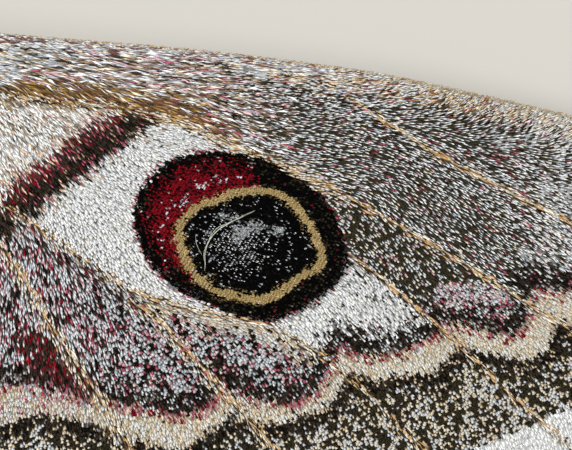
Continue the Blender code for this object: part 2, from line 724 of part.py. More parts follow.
def ring_locks(draw):
    """A fringe of locks behind each ring of the abdomen, over its back and sides."""
    shapes = []
    for ring in range(ABDOMEN_RINGS):
        share = (ring + RING_LOCK_PLACE) / ABDOMEN_RINGS
        z, radius = abdomen_ring(share)
        radius_behind = abdomen_ring(share + SLOPE_STEP)[1]
        slope = (radius_behind - radius) / (SLOPE_STEP * ABDOMEN_LENGTH)
        y = ABDOMEN_FRONT - ABDOMEN_LENGTH * share
        count = max(int(RING_LOCKS * radius / ABDOMEN_RADIUS), RING_LOCKS_LEAST)
        for k in range(count):
            angle = RING_LOCK_LOWEST * (k + (0.5 if ring % 2 else 0.0)) / count
            size = draw.uniform(*LOCK_SIZES)
            out = Vector((math.sin(angle), 0.0, math.cos(angle)))
            root = Vector((0.0, y, z)) + out * radius
            lie = (Vector((0.0, -1.0, 0.0)) + out * slope).normalized()
            normal = (out - lie * out.dot(lie)).normalized()
            for turn in ((Vector,) if angle == 0 else (Vector, flipped)):
                shapes.append(lock(turn(root), turn(normal), turn(lie), RING_LOCK_LENGTH * size,
                                   RING_LOCK_WIDTH * size, RING_LOCK_THICKNESS, RING_LOCK_LIFT))
    return shapes


def add_abdomen(draw):
    abdomen = new_object("abdomen", abdomen_shape(0.0, ABDOMEN_FRONT), FUR_GREY)
    unite(abdomen, ring_locks(draw))
    keep_largest(abdomen)


def face_locks(draw):
    """A tuft on the brow and the sides of the face, that leans forward and down."""
    shapes = []
    for k in range(FACE_LOCKS):
        angle = FACE_LOCK_SPREAD * (2 * k / (FACE_LOCKS - 1) - 1)
        y = HEAD_CENTRE[1] + FACE_ROWS[k % 2]
        root, normal = on_egg(HEAD_CENTRE, HEAD_RADII, angle, y)
        size = draw.uniform(*LOCK_SIZES)
        ahead = Vector((0.0, 1.0, -FACE_DROOP))
        lie = (ahead - normal * ahead.dot(normal)).normalized()
        length, width, thickness = FACE_LOCK_SIZE
        shapes.append(lock(root, normal, lie, length * size, width, thickness))
    return shapes


def add_head(sockets, draw):
    head = new_object("head", egg(HEAD_CENTRE, HEAD_RADII, *HEAD_FACETS), FUR_GREY)
    unite(head, face_locks(draw))
    tools = list(sockets)
    for side, turn in (("right", Vector), ("left", flipped)):
        centre = turn(EYE_CENTRE)
        radii = (EYE_RADIUS,) * 3
        grown = (EYE_RADIUS + GAP,) * 3
        new_object(f"eye_{side}", egg(centre, radii, *EYE_FACETS), EYE_BLACK)
        tools.append(cutter(f"eye_socket_{side}", egg(centre, grown, *EYE_FACETS)))
    cut(head, tools)
    keep_largest(head)


def add_wings():
    cutters = []
    for name, wing, slot in (("forewing", FOREWING, FORE_SLOT), ("hindwing", HINDWING, HIND_SLOT)):
        right = add_wing(f"{name}_right", wing)
        mirrored(right, f"{name}_left")
        slot_right = slot_cutter(f"{name}_slot", slot, wing["level"])
        slot_left = mirrored(slot_right, f"{name}_slot_left")
        slot_left.hide_render = True
        slot_left.display_type = "WIRE"
        cutters += [slot_right, slot_left]
    return cutters


def centre_on_floor():
    """Moves the whole moth along Y, so that the origin is under the middle of its box."""
    nodes = [obj for obj in bpy.data.objects if not obj.hide_render]
    ys = [vert.co.y for obj in nodes for vert in obj.data.vertices]
    shift = Matrix.Translation((0.0, -(min(ys) + max(ys)) / 2, 0.0))
    for obj in nodes:
        obj.data.transform(shift)


def build():
    remove_everything()
    draw = random.Random(SEED)
    wing_slots = add_wings()
    hips = add_legs()
    add_head(add_antennae(), draw)
    add_thorax(wing_slots + hips, draw)
    add_abdomen(draw)
    for obj in list(bpy.data.objects):
        if obj.hide_render:
            bpy.data.objects.remove(obj)
    centre_on_floor()


build()
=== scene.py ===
import math
from collections import namedtuple

import bpy
import numpy as np
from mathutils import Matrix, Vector
from mathutils.kdtree import KDTree


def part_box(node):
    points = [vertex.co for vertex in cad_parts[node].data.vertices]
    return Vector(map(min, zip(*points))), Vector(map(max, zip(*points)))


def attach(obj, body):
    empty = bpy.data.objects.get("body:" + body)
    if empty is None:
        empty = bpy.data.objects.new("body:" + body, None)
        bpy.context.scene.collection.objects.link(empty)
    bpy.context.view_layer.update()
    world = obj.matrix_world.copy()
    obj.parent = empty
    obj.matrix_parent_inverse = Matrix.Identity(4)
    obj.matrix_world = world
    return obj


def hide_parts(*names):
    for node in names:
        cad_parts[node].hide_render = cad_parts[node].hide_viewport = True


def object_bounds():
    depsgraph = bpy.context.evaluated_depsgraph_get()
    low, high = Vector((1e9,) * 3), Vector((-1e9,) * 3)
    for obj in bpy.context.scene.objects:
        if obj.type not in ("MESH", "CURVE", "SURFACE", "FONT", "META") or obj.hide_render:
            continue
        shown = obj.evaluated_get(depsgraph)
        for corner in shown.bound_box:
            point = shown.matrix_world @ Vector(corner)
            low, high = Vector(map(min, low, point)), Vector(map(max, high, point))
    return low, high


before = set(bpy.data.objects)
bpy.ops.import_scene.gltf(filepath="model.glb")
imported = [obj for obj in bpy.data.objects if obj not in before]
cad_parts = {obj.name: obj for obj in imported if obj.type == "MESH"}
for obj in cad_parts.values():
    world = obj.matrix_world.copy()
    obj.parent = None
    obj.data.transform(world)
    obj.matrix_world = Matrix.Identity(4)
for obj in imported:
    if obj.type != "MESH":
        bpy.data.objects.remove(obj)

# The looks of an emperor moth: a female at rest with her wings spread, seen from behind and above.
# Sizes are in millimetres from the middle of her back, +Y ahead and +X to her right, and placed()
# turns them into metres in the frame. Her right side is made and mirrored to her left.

CAD_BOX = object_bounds()
MM = 0.001
SEED = 7
HANDS = (("right", 1), ("left", -1))

# Where the frame stands: the middle of the right eye is known in both systems.
EYE_CENTRE = np.array([1.3, 7.3, 5.2])
EYE_LOW, EYE_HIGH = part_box("eye_right")
SHIFT_Y = (EYE_LOW[1] + EYE_HIGH[1]) / 2 / MM - EYE_CENTRE[1]

# The photograph: its frame in pixels, its scale on the wing and how high it was taken from.
PHOTO_WIDTH = 572
PIXELS_PER_MM = 34.0
VIEW_HEIGHT = math.radians(64)
VIEW_TARGET = np.array([23.4, -2.9, 5.252])
LENS = 150.0
SENSOR = 36.0

# The arched surface that the four wings share. It slopes and sags from the hinge to the tip, drops
# behind its crest, and rolls down at the front edge, less so near the tip.
HINGE_X = 3.2
HINGE_Z = 7.6
SPAN = 36.5
SLOPE = 0.10
TIP_SAG = 1.0
CREST_Y = 1.6
CREST_SWEEP = 0.12
REAR_DROP = 2.0
REAR_REACH = 20.0
EDGE_DROP = 0.95
EDGE_WIDTH = 2.3
EDGE_FADE = 6.0
EDGE_TIP = (32.5, 39.5)
EDGE_TIP_SHARE = 0.25

MEMBRANE = 0.1  # thickness of a wing without its scales
PLEAT = 0.1  # how far the wing bellies up between two veins
VEIN_HEIGHT = 0.07
VEIN_WIDTH = 0.16
VEIN_RADIUS = 0.03
VEIN_SUNK = 0.01
VEIN_TAPER = (1.5, 0.7)  # its radius at the root and at the margin, as a share
VEIN_STEP = 6  # a vein has every sixth point of the grid
SLIT_RADIUS = 0.013
GRID_ACROSS = 91
GRID_ALONG = 161
INSET = 0.982  # the membrane ends here, and the fringe of scales goes on

# Each wing in plan: lines from its root to its margin, from the front one to the rear one, how far out
# the vein on each starts as a share of the line, if it has one, and the wing's height over the surface.
FOREWING = {
    "lines": [
        [(2.2, 3.2), (5.7, 3.6), (10.2, 3.7), (14.7, 3.55), (20.8, 3.4), (26.3, 3.0), (32.3, 1.95),
         (37.8, 0.3), (39.6, -0.6), (40.4, -2.0)],
        [(2.2, 2.75), (8.0, 2.35), (13.0, 2.1), (18.0, 2.2), (22.0, 2.25), (24.7, 1.8), (27.7, -0.1),
         (32.0, -2.35), (38.7, -5.7)],
        [(2.2, 2.4), (8.0, 1.7), (15.0, 0.85), (19.2, 0.6), (21.8, -0.43), (25.1, -1.81), (28.0, -3.43),
         (31.7, -5.7), (36.3, -8.3)],
        [(2.2, 2.1), (8.0, 1.3), (15.0, -0.5), (20.0, -2.1), (25.15, -3.68), (26.6, -4.8), (28.15, -6.1),
         (30.3, -8.2), (33.0, -10.4)],
        [(2.2, 1.8), (8.0, 0.6), (12.0, -1.0), (16.2, -3.35), (18.35, -4.85), (20.0, -5.6), (22.9, -6.1),
         (25.1, -7.45), (27.15, -9.45), (30.0, -11.9)],
        [(2.2, 1.55), (8.0, 0.1), (12.0, -1.6), (16.1, -3.75), (18.3, -5.15), (19.65, -6.0), (21.1, -7.6),
         (22.5, -9.1), (26.2, -13.6)],
        [(2.2, 1.3), (7.5, -0.2), (11.0, -1.6), (13.6, -2.95), (15.25, -4.05), (16.25, -5.7), (17.25, -7.2),
         (18.6, -9.25), (21.8, -15.2)],
        [(2.2, 1.05), (6.5, -1.5), (11.0, -5.6), (15.0, -10.4), (19.0, -15.8)],
        [(2.2, 0.8), (5.5, -1.9), (10.0, -6.8), (14.3, -12.0), (17.6, -15.3)],
    ],
    "vein_starts": [None, 0.6, 0.0, 0.7, 0.0, 0.63, 0.45, 0.0, None],
    "level": 0.0,
}
HINDWING = {
    "lines": [
        [(2.2, 0.1), (8.0, 0.4), (14.0, -1.5), (20.0, -6.0), (23.4, -10.6)],
        [(2.2, -0.2), (8.0, -1.1), (14.0, -4.4), (20.0, -9.8), (23.5, -13.4)],
        [(2.2, -0.5), (7.6, -2.8), (12.5, -7.0), (18.0, -12.6), (22.6, -16.6)],
        [(2.2, -0.75), (7.0, -3.9), (11.2, -9.0), (16.0, -15.2), (20.2, -20.2)],
        [(2.2, -1.0), (6.4, -4.5), (9.9, -10.4), (13.6, -17.4), (16.9, -22.9)],
        [(2.2, -1.25), (5.9, -5.0), (8.6, -11.6), (11.0, -18.6), (13.2, -24.6)],
        [(2.2, -1.5), (5.3, -5.2), (7.3, -12.0), (8.6, -19.0), (9.6, -24.5)],
        [(2.2, -2.0), (4.1, -5.0), (4.9, -9.5), (5.2, -15.0), (6.5, -21.9)],
    ],
    "vein_starts": [None, 0.0, 0.0, 0.62, 0.62, 0.0, 0.62, None],
    "level": -1.05,  # it lies under the forewing
}

# Markings of the forewing, in plan, from its root side to its margin.
UPPER_CELL = [(2.2, 2.2), (8.0, 1.4), (12.0, 0.85), (14.9, 0.6), (16.4, 0.75), (17.9, 0.68), (19.0, 0.52),
              (19.9, 0.33), (20.8, 0.0), (21.8, -0.43), (22.7, -0.97), (23.8, -1.4), (25.1, -1.81),
              (26.6, -2.66), (28.0, -3.43), (29.7, -4.37), (31.7, -5.72), (36.3, -8.3)]
LOWER_CELL = [(2.2, 1.8), (8.0, 0.6), (12.0, -1.0), (14.5, -2.4), (16.2, -3.35), (17.3, -4.1),
              (18.35, -4.85), (19.2, -5.5), (20.9, -5.8), (22.9, -6.1), (24.2, -6.84), (25.1, -7.43),
              (25.75, -8.05), (27.15, -9.45), (30.0, -11.9)]
MEDIAN = [(25.15, -3.65), (25.75, -4.12), (26.6, -4.77), (27.4, -5.52), (28.15, -6.1), (28.9, -6.73),
          (30.3, -8.2), (33.0, -10.4)]
BAND = [(10.6, -9.0), (11.5, -7.2), (12.4, -5.8), (13.6, -4.4), (15.1, -2.9), (16.3, -1.64), (17.7, -0.29),
        (18.9, 0.7), (19.6, 1.2)]
SCALLOPS = [(11.6, -11.0), (12.6, -9.9), (13.6, -9.0), (14.6, -8.35), (15.5, -8.15), (16.5, -8.2),
            (17.3, -8.35), (18.1, -8.5), (19.0, -8.65), (20.4, -8.9), (21.2, -8.6), (21.45, -8.1),
            (21.7, -7.95), (22.7, -8.35), (23.5, -8.4), (24.35, -8.0), (24.6, -7.2), (24.95, -6.6),
            (25.8, -6.85), (26.7, -6.65), (27.6, -6.15), (28.0, -5.65), (29.1, -5.85), (29.9, -6.0),
            (30.4, -5.65), (30.5, -5.0), (30.6, -4.4), (31.5, -4.55), (32.3, -4.3), (32.8, -3.6),
            (33.0, -2.7), (33.7, -2.5), (34.2, -1.8), (34.4, -0.9), (35.0, -0.5), (35.8, 1.2)]
OUTER_LINE = [(12.4, -11.8), (14.0, -10.4), (15.4, -9.6), (16.5, -9.16), (17.5, -9.3), (18.45, -9.5),
              (19.2, -9.8), (20.4, -10.1), (21.0, -9.75), (21.9, -8.95), (22.4, -9.25), (23.5, -9.05),
              (24.7, -8.55), (25.1, -7.95), (25.25, -7.5), (25.9, -7.7), (26.7, -7.55), (27.8, -7.45),
              (28.5, -6.55), (29.6, -6.8), (30.5, -6.9), (31.2, -6.4), (31.45, -5.6), (31.8, -5.9),
              (32.8, -5.9), (33.6, -5.3), (33.8, -4.4), (34.6, -4.1), (35.2, -3.3), (35.4, -2.2),
              (36.2, -1.6), (37.0, 0.2)]
BLOTCH = [(16.3, -7.0), (16.9, -7.8), (17.5, -8.25)]  # dark red, behind the cell
BLUSH = (28.9, -5.0)  # pinkish white, before a scallop
APEX = (37.2, -1.2)  # the crimson mark at the tip
WHITE_BAND = 2.75  # measured from the margin
BORDER = 1.05
COSTA_STRIP = 0.75  # the furred strip along the front edge
RIM = 0.14

# How far the scales turn from the veins' direction, in degrees, at a place in plan.
LEANS = [(15.4, 2.2, -12), (15.5, 0.1, -42), (17.9, -0.4, -38), (20.0, 0.0, 4), (17.7, -2.1, -22),
         (18.6, -3.3, -22), (16.3, -3.8, -34), (15.8, -5.1, -16), (18.0, -5.3, -25), (17.0, -6.5, -15),
         (15.8, -6.9, -27), (19.8, -7.3, -8), (21.8, -6.9, -17), (23.8, -6.2, -22), (26.7, -7.0, -17),
         (27.5, -8.4, -17), (30.7, -9.2, -25), (25.0, -0.6, 15), (25.0, 1.1, 26), (23.8, 2.2, 4),
         (26.5, 2.3, 35), (29.1, 1.9, 62), (31.2, 1.3, 58), (33.5, 0.6, 50), (28.3, -0.7, -4),
         (30.5, -0.6, 0), (28.3, -2.4, -13), (31.0, -2.6, -7), (25.9, -2.9, -24), (25.3, -4.9, -11),
         (22.3, 1.6, 2), (20.2, 2.2, -6), (10.0, 1.0, -8), (10.0, -5.0, -12), (20.0, -12.0, -12),
         (36.0, 0.0, 10), (35.0, -5.0, -8)]
LEAN_BLEND = 0.6

# The eye-shaped mark of the forewing. The crescent is given by the angles where it starts and ends, and
# each glint by its place and radius.
EYESPOT = {
    "centre": (22.1, -3.4),
    "ring": [(18.93, -2.85), (19.1, -1.86), (19.8, -1.1), (20.85, -0.66), (21.7, -0.6), (22.8, -0.8),
             (23.5, -1.25), (24.4, -1.85), (24.9, -2.8), (25.2, -3.9), (24.9, -4.6), (24.4, -5.1),
             (23.7, -5.6), (22.8, -5.93), (21.8, -5.83), (20.9, -5.4), (19.75, -4.7), (19.15, -3.8)],
    "ochre": [(20.16, -3.1), (20.6, -2.42), (21.3, -2.12), (22.3, -1.76), (22.8, -1.73), (23.4, -1.92),
              (24.0, -2.54), (24.4, -3.3), (24.57, -3.95), (24.4, -4.3), (23.95, -4.55), (23.4, -5.03),
              (22.8, -5.4), (21.9, -5.36), (21.1, -5.1), (20.6, -4.65), (20.25, -3.9)],
    "slit": [(22.49, -2.5), (22.11, -2.72), (21.76, -2.94), (21.44, -3.18), (21.21, -3.48), (21.1, -3.74),
             (21.04, -4.03), (21.06, -4.32), (21.04, -4.54)],
    "glints": [(22.5, -3.0, 0.3), (23.14, -3.11, 0.22), (21.12, -3.3, 0.17), (21.4, -2.72, 0.2),
               (21.8, -2.75, 0.2), (22.1, -3.2, 0.25)],
    "specks": (21.95, -3.7),
    "dots": [(20.8, -1.76), (20.95, -1.78), (21.42, -1.59), (21.6, -1.51), (21.92, -1.42), (22.07, -1.41),
             (20.23, -2.45), (20.4, -2.31), (19.89, -2.73), (19.84, -3.11), (19.61, -3.32), (19.76, -3.63),
             (19.79, -3.82), (19.86, -4.23)],
    "crescent": (math.radians(71), math.radians(230)),
    "crease": [(20.76, -3.4), (20.8, -3.72), (20.96, -4.06)],
}
OCHRE_WIDTH = 0.25
RING_EDGE = (0.12, 0.78)  # black outside the crimson crescent, ragged between these widths
CRESCENT_TAPER = 0.25  # radians in which each end of the crescent runs out
DOT_RADIUS = 0.045
CREASE_WIDTH = 0.07  # how far from the slit the dark scales along it reach
SLIT_GAP = 0.04  # between the slit's two lips, in the middle
SLIT_UNEVEN, SLIT_WAVES = 0.6, 5.3  # how much the gap changes along it, and how fast
SLIT_LIFT = 0.04
SLIT_POINTS = 24
SLIT_STRANDS = (1.1, 0.8, 0.5)  # how thick the two lips and the crease beside them are, as a share
HIND_EYESPOT_CENTRE = (9.9, -11.6)
HIND_EYESPOT_SIZE = 0.94
HIND_EYESPOT_TURN = math.radians(-52)
# The hindwing's scalloped lines, each from its distance to the margin outwards.
HIND_LINES = (("scallop", 5.2), ("fringe", 4.55), ("cream", 4.4), ("outline", 3.85), ("mottle", 3.6))
UNDER_EYESPOT = (("ring", 2.3), ("ochre", 1.75), ("pupil", 1.4))  # radii of its plain rings beneath

# Colours as the eye names them, in sRGB.
PALETTE = {
    "milk": "#f3f3f0", "snow": "#e2e3e3", "chalk": "#d5d3ca", "pearl": "#c9ccce", "ash": "#a6abb0",
    "smoke": "#7c7972", "umber": "#332b23", "soot": "#15110e", "black": "#040404", "rose": "#c49aa0",
    "pink": "#9f4d5e", "crimson": "#740f1c", "scarlet": "#8a101a", "mustard": "#8d6e3a", "wine": "#420b10",
    "sand": "#c6b394", "cream": "#d8cdb8", "buff": "#ae9168", "gold": "#b48f60", "ochre": "#b09865",
    "peach": "#d3b29b", "maroon": "#6b4644", "glass": "#a9b0a8", "ice": "#d5e0ec", "fawn": "#94806a",
    "tan": "#5c452e", "moss": "#32301f",
}

# Each zone's scales: the ground layer's colours with their weights, the top layer's, from light to dark,
# how full the top layer's second set of rows is, a top scale's length and width in mm, and how strongly
# its colours gather in patches.
Zone = namedtuple("Zone", "ground top fullness length width patchiness")
ZONE_TABLE = {
    "frost": ("moss 6 umber 3 soot 3",
              "snow 25 pearl 26 ash 17 cream 7 pink 5 rose 4 umber 16", 0.22, 0.25, 0.037, 0.0),
    "mane": ("fawn 3 tan 4 moss 3 maroon 2",
             "snow 12 pearl 11 ash 14 cream 9 fawn 20 umber 19 rose 9 pink 6", 0.7, 0.6, 0.02, 0.0),
    "tawny": ("tan 5 mustard 2 umber 3",
              "snow 5 sand 6 gold 8 mustard 33 tan 37 maroon 11", 0.8, 0.52, 0.028, 0.1),
    "costa": ("ash 3 fawn 4 maroon 4", "pearl 34 ash 22 cream 16 maroon 28", 0.8, 0.5, 0.03, 0.4),
    "rim": ("sand 1", "cream 5 sand 4 buff 1", 1.0, 0.3, 0.045, 0.0),
    "fan": ("buff 2 tan 4 umber 4", "pearl 34 cream 34 sand 20 gold 7 crimson 5", 0.9, 0.36, 0.038, 0.1),
    "down": ("ash 4 fawn 3 moss 2", "snow 42 chalk 40 peach 8 fawn 10", 1.0, 0.4, 0.05, 0.0),
    "shag": ("maroon 1 umber 6 soot 3",
             "pearl 38 ash 18 rose 14 pink 8 crimson 4 umber 10 soot 8", 0.8, 0.32, 0.05, 0.3),
    "blush": ("ash 3 rose 4 umber 2", "pearl 48 chalk 14 rose 26 pink 12", 0.9, 0.2, 0.072, 0.2),
    "blotch": ("wine 3 umber 5 soot 2",
               "rose 5 pink 8 scarlet 8 crimson 18 maroon 8 umber 33 soot 20", 0.6, 0.28, 0.04, 0.0),
    "speckle": ("umber 5 soot 5", "pearl 33 ash 19 rose 14 pink 8 umber 13 soot 13", 0.85, 0.21, 0.092, 0.36),
    "dusk": ("umber 5 soot 5",
             "pearl 8 ash 24 cream 8 rose 15 pink 10 umber 18 soot 17", 0.8, 0.2, 0.08, 0.32),
    "white": ("ash 4 smoke 4 moss 1", "milk 22 snow 62 chalk 16", 1.0, 0.3, 0.072, 0.0),
    "olive": ("moss 5 umber 5", "pearl 20 ash 14 cream 15 rose 6 moss 25 umber 20", 0.5, 0.2, 0.056, 0.2),
    "scallop": ("umber 4 soot 6", "pearl 8 ash 12 smoke 12 pink 4 umber 30 soot 34", 0.7, 0.18, 0.056, 0.1),
    "fringe": ("rose 3 crimson 3 umber 4", "rose 24 pink 40 crimson 36", 0.3, 0.2, 0.055, 0.2),
    "cream": ("sand 6 smoke 1", "snow 12 chalk 33 cream 38 sand 15 peach 2", 1.0, 0.28, 0.072, 0.15),
    "outline": ("umber 4 soot 6", "sand 12 smoke 12 umber 40 soot 36", 0.6, 0.18, 0.062, 0.1),
    "mottle": ("umber 7 moss 3", "pearl 22 cream 24 sand 8 umber 27 moss 19", 0.85, 0.19, 0.088, 0.42),
    "margin": ("snow 1", "milk 70 snow 30", 1.0, 0.3, 0.085, 0.0),
    "border": ("fawn 4 smoke 4 umber 3", "cream 16 ash 16 sand 22 smoke 24 umber 22", 0.7, 0.26, 0.07, 0.3),
    "band_red": ("maroon 2 wine 3 umber 5",
                 "fawn 8 peach 5 rose 6 pink 16 crimson 28 umber 37", 0.7, 0.34, 0.044, 0.2),
    "band_dark": ("umber 5 soot 5", "fawn 8 pink 9 crimson 3 umber 50 soot 30", 0.6, 0.3, 0.05, 0.1),
    "peach": ("cream 4 fawn 4", "pearl 30 cream 24 peach 32 rose 14", 0.8, 0.32, 0.05, 0.1),
    "base": ("ash 2 fawn 4 umber 4", "pearl 28 ash 28 cream 20 fawn 14 umber 10", 0.5, 0.55, 0.045, 0.2),
    "gold": ("umber 6 tan 4", "cream 30 gold 30 buff 20 umber 20", 0.6, 0.4, 0.03, 0.0),
    "buff": ("fawn 3 tan 3 umber 5", "pearl 18 cream 44 sand 28 gold 10", 0.8, 0.28, 0.045, 0.0),
    "ring": ("black 1", "smoke 1 crimson 1 moss 6 umber 8 soot 20 black 64", 1.0, 0.14, 0.06, 0.0),
    "crescent": ("crimson 5 wine 5", "rose 3 scarlet 30 crimson 30 wine 15 black 22", 1.0, 0.125, 0.06, 0.2),
    "dots": ("ice 1", "snow 5 ice 5", 1.0, 0.11, 0.07, 0.0),
    "ochre": ("ochre 1", "sand 8 ochre 80 buff 12", 1.0, 0.115, 0.066, 0.0),
    "pupil": ("black 1", "ash 3 soot 15 black 82", 1.0, 0.12, 0.06, 0.0),
    "specks": ("black 1", "snow 34 ash 30 smoke 20 soot 16", 1.0, 0.085, 0.026, 0.0),
    "glint": ("ash 4 smoke 4 black 2", "ash 44 glass 22 smoke 10 black 24", 1.0, 0.1, 0.06, 0.2),
    "crimson": ("crimson 1", "rose 3 crimson 6 black 1", 0.8, 0.2, 0.08, 0.3),
}

# The rows of scales.
GROUND_SPACING = 0.15
TOP_SPACING = 0.115
FINE_SPACING = 0.067  # in the eye-shaped marks
FINE_REACH = 4.0  # from the middle of the mark
ROW_SHAPE = (1.5, 0.67)  # a row lies this far from the next, and a scale in it from its neighbour
ROW_JITTER = 0.2
GRID_REACH = 0.35  # a place further than this from the wing's grid is off the wing
HIND_SPREAD = 1.12  # the hindwing's scales are this much larger and further apart
UNDER_SPREAD = 2.1  # and those of the under side
SPREAD_GROWTH = 0.8  # a scale grows with this power of the spread
COLOUR_AHEAD = 0.09  # a scale has the colour of the marking this far ahead of its root
FINE_COLOUR_AHEAD = 0.05
RAGGED = 0.05  # how far a marking's border strays
FINE_RAGGED = RAGGED * 0.4
CLUMP = 0.17  # size of the patches in which light and dark scales gather
CLUMP_TABLE = 256
CLUMP_CONTRAST = 1.7
TINT_RANGE = (0.9, 1.06)  # how much scales of one colour differ

# The form of a scale, in mm and as shares of its own length and width.
GROUND_GROWTH = (1.2, 1.7)  # the ground layer's scales are this much longer and wider than the top's
GROUND_SIZE = (0.24, 0.13)  # but no longer and wider than this
SCALE_RANGE = (0.85, 1.2)
HAIR_RANGE = (-0.25, 0.3)  # how much more the slender ones differ in length
BLUNT = 0.2  # width of a blunt scale, as a share of its length
HAIR_LIKE = 0.1  # how much less that share is where a scale is drawn out into a hair
HAIR_BEND = 0.11
VEIN_GROWTH, LANE_LOSS = 0.3, 0.15  # how much larger they are along a vein, and smaller between two
HAIR_STRAY, SCALE_STRAY, VEIN_STRAY = 0.09, 0.08, 0.03  # radians
BLUNT_SHOULDER = 0.9  # how far out the shoulders of a blunt scale are
SLENDER_SHOULDER = 0.4  # how much nearer to the root those of a slender one are
GROUND_LIFT, TOP_LIFT = 0.012, 0.035  # how high the tip stands
LIFT_RANGE = (0.5, 1.2)
LIFT_LENGTH, MOST_LIFT = 0.2, 1.2  # it is for a scale of this length, and grows with it up to this
SMOOTH_LIFT = 0.5  # in the white and cream fields, where the scales lie flat
SHOULDER_LIFT, SHOULDER_SHARE = 0.008, 0.2  # how much higher its shoulders are than a straight scale's
ROOT_LIFT = 0.004
ROLL = 0.06
EDGE_SHORT = (0.5, 0.45)  # scales nearer to the front edge than this shorten, down to this share
EDGE_STRAY = (0.3, 0.3)  # and stray less in the same way
EDGE_LIE = (0.2, 0.4)  # they lie along the edge up to 0.08 mm from it, and as elsewhere from 0.28 mm
EDGE_FRINGE = 0.12  # how far a scale may stand out past the front edge
SCALE_SHADE = np.array([0.9, 1.0, 1.0, 1.02])  # darker at the root

MOST_TRIANGLES = 195000  # in one piece
BAKE_PATCH = 0.003  # a scale's width on its piece's OFBake map
BAKE_EDGE = 0.01  # the map's border that stays empty

# The body: the centre and radii of each round form under its skin, before the abdomen's rings.
BODY_FORMS = [
    ((0.0, 7.0, 5.5), (1.35, 1.15, 1.25)),  # the head
    ((0.0, 1.6, 6.1), (2.3, 4.0, 2.15)),  # the thorax, with the four shoulders of the wings
    ((2.0, 2.4, 7.0), (0.9, 1.6, 0.7)), ((-2.0, 2.4, 7.0), (0.9, 1.6, 0.7)),
    ((1.9, -0.8, 6.1), (0.9, 1.6, 0.7)), ((-1.9, -0.8, 6.1), (0.9, 1.6, 0.7)),
    ((0, -2.2, 5.5), (1.9, 1.6, 1.9)),  # the waist
]
ABDOMEN_FRONT = -2.65
ABDOMEN_RINGS = 7
ABDOMEN_LENGTH = 14.2
ABDOMEN_FRONT_Z = 5.3
ABDOMEN_REAR_Z = 3.5
ABDOMEN_LEVEL = 0.75  # its middle stays level beyond this share of its length
ABDOMEN_ROUND = 0.28  # share of its length in which it rounds off
ABDOMEN_RADIUS = 3.6
RING_REACH = 1.45  # half the length of a ring's form
RING_DEPTH = 0.97  # its height, as a share of its width
FUR_DEPTH = 0.5  # the skin lies this far under the fur's surface there
SKIN_VOXEL = 0.14

# Fur on the thorax, the head and the abdomen: its length, how far it stands off and a hair's width.
FUR_COUNT = 20000
FUR_LENGTH = (2.1, 0.95, 1.35)
FUR_LIFT = (0.24, 0.4, 0.14)
FUR_WIDTH = (0.085, 0.075, 0.075)
FUR_LENGTH_RANGE = (0.7, 1.15)
FUR_LIFT_RANGE = (0.5, 1.3)
FUR_STRAY = 0.16
BELLY_SHORT = 0.45  # how much shorter it is beneath
RING_DARK = 0.62  # share of each ring of the abdomen that is dark
NECK_Y = 5.6
COLLAR_Y = 4.3
FACE_Y, FACE_TURN = 4.6, 1.2  # from here on the fur turns forwards, over this far
HAIR_SHADE = np.array([0.5, 0.5, 0.55, 0.92, 0.92, 1.0, 1.12])  # dark at its root and light at its tip
HAIR_SWAY = 0.08
HAIR_ROOT = 0.06  # how deep it starts in the skin
HAIR_TINT_RANGE = (0.8, 1.15)

ANTENNA = [(0.8, 7.5, 6.4), (1.5, 8.6, 7.1), (3.2, 10.7, 7.5), (5.0, 11.9, 7.2), (6.9, 12.5, 6.6)]
ANTENNA_POINTS = 24
ANTENNA_RADII = (0.19, 0.09)
COMB_STEPS = 59  # places of the comb's teeth along the antenna, from its root
COMB_START = 5  # the first that has teeth
TOOTH_LENGTH = (0.06, 0.95)  # at the least, and how much more in the middle
TOOTH_WIDTH = 0.13
TOOTH_AHEAD, TOOTH_DOWN = 0.55, 0.25  # how far it points ahead and down, for each step out

FOOT_Z = 0.24
LEGS = {  # the hip, the knee, the ankle and the toe of each
    "fore": [(1.0, 4.0, 4.3), (3.3, 6.6, 4.0), (4.3, 9.0, 1.2), (5.2, 12.2, FOOT_Z)],
    "mid": [(1.4, 1.6, 4.2), (5.0, 2.2, 4.5), (7.6, 2.7, 1.2), (10.8, 3.0, FOOT_Z)],
    "hind": [(1.3, -0.7, 4.2), (5.0, -2.3, 4.2), (7.5, -4.9, 1.1), (9.3, -8.0, FOOT_Z)],
}
LEG_RADII = [0.42, 0.44, 0.34, 0.3, 0.34, 0.25, 0.2, 0.22]  # from the hip to the heel
FOOT_JOINTS = 4
FOOT_STEPS = 4.2  # the last joint ends a little before the toe
FOOT_RADII = [0.17, 0.23]  # between two joints and at one
LEG_HAIRS = 420
LEG_HAIR_LENGTH, LEG_HAIR_WIDTH, LEG_HAIR_LIFT = 0.75, 0.055, 0.3
LEG_HAIR_STRAY = 0.2
LEG_HAIR_FULL, LEG_HAIR_LEAST = 3.0, 0.12  # height at which it is full, and its least share below that
HAIRLESS_FOOT = 0.45  # no hair grows below this height
# A claw's middle line: how far ahead of the toe, to the side and down, and its thickness at each point.
CLAW = [(-0.2, 0.05, 0.0), (0.08, 0.12, -0.06), (0.22, 0.18, -0.02), (0.32, 0.2, 0.12)]
CLAW_RADIUS = 0.055
CLAW_TAPER = (1.0, 0.95, 0.7, 0.3)

EYE_RADIUS = 0.78
FACET_EDGE = 0.012
FACET_RISE = 0.008

# Place, aim, width in mm and watts of each soft box.
LIGHTS = {
    "key": ((-50, -70, 190), (10, 0, 4), 110, 0.62),
    "fill": ((170, 80, 150), (10, 0, 4), 160, 0.28),
}
WORLD_STRENGTH = 0.54
LEATHER, LEATHER_DEPTH = 6, 0.02  # how much finer a shell's surface is than its tones, and its depth in mm
PAPER_GRAIN, PAPER_DEPTH = 10 / 9, 0.05  # mm


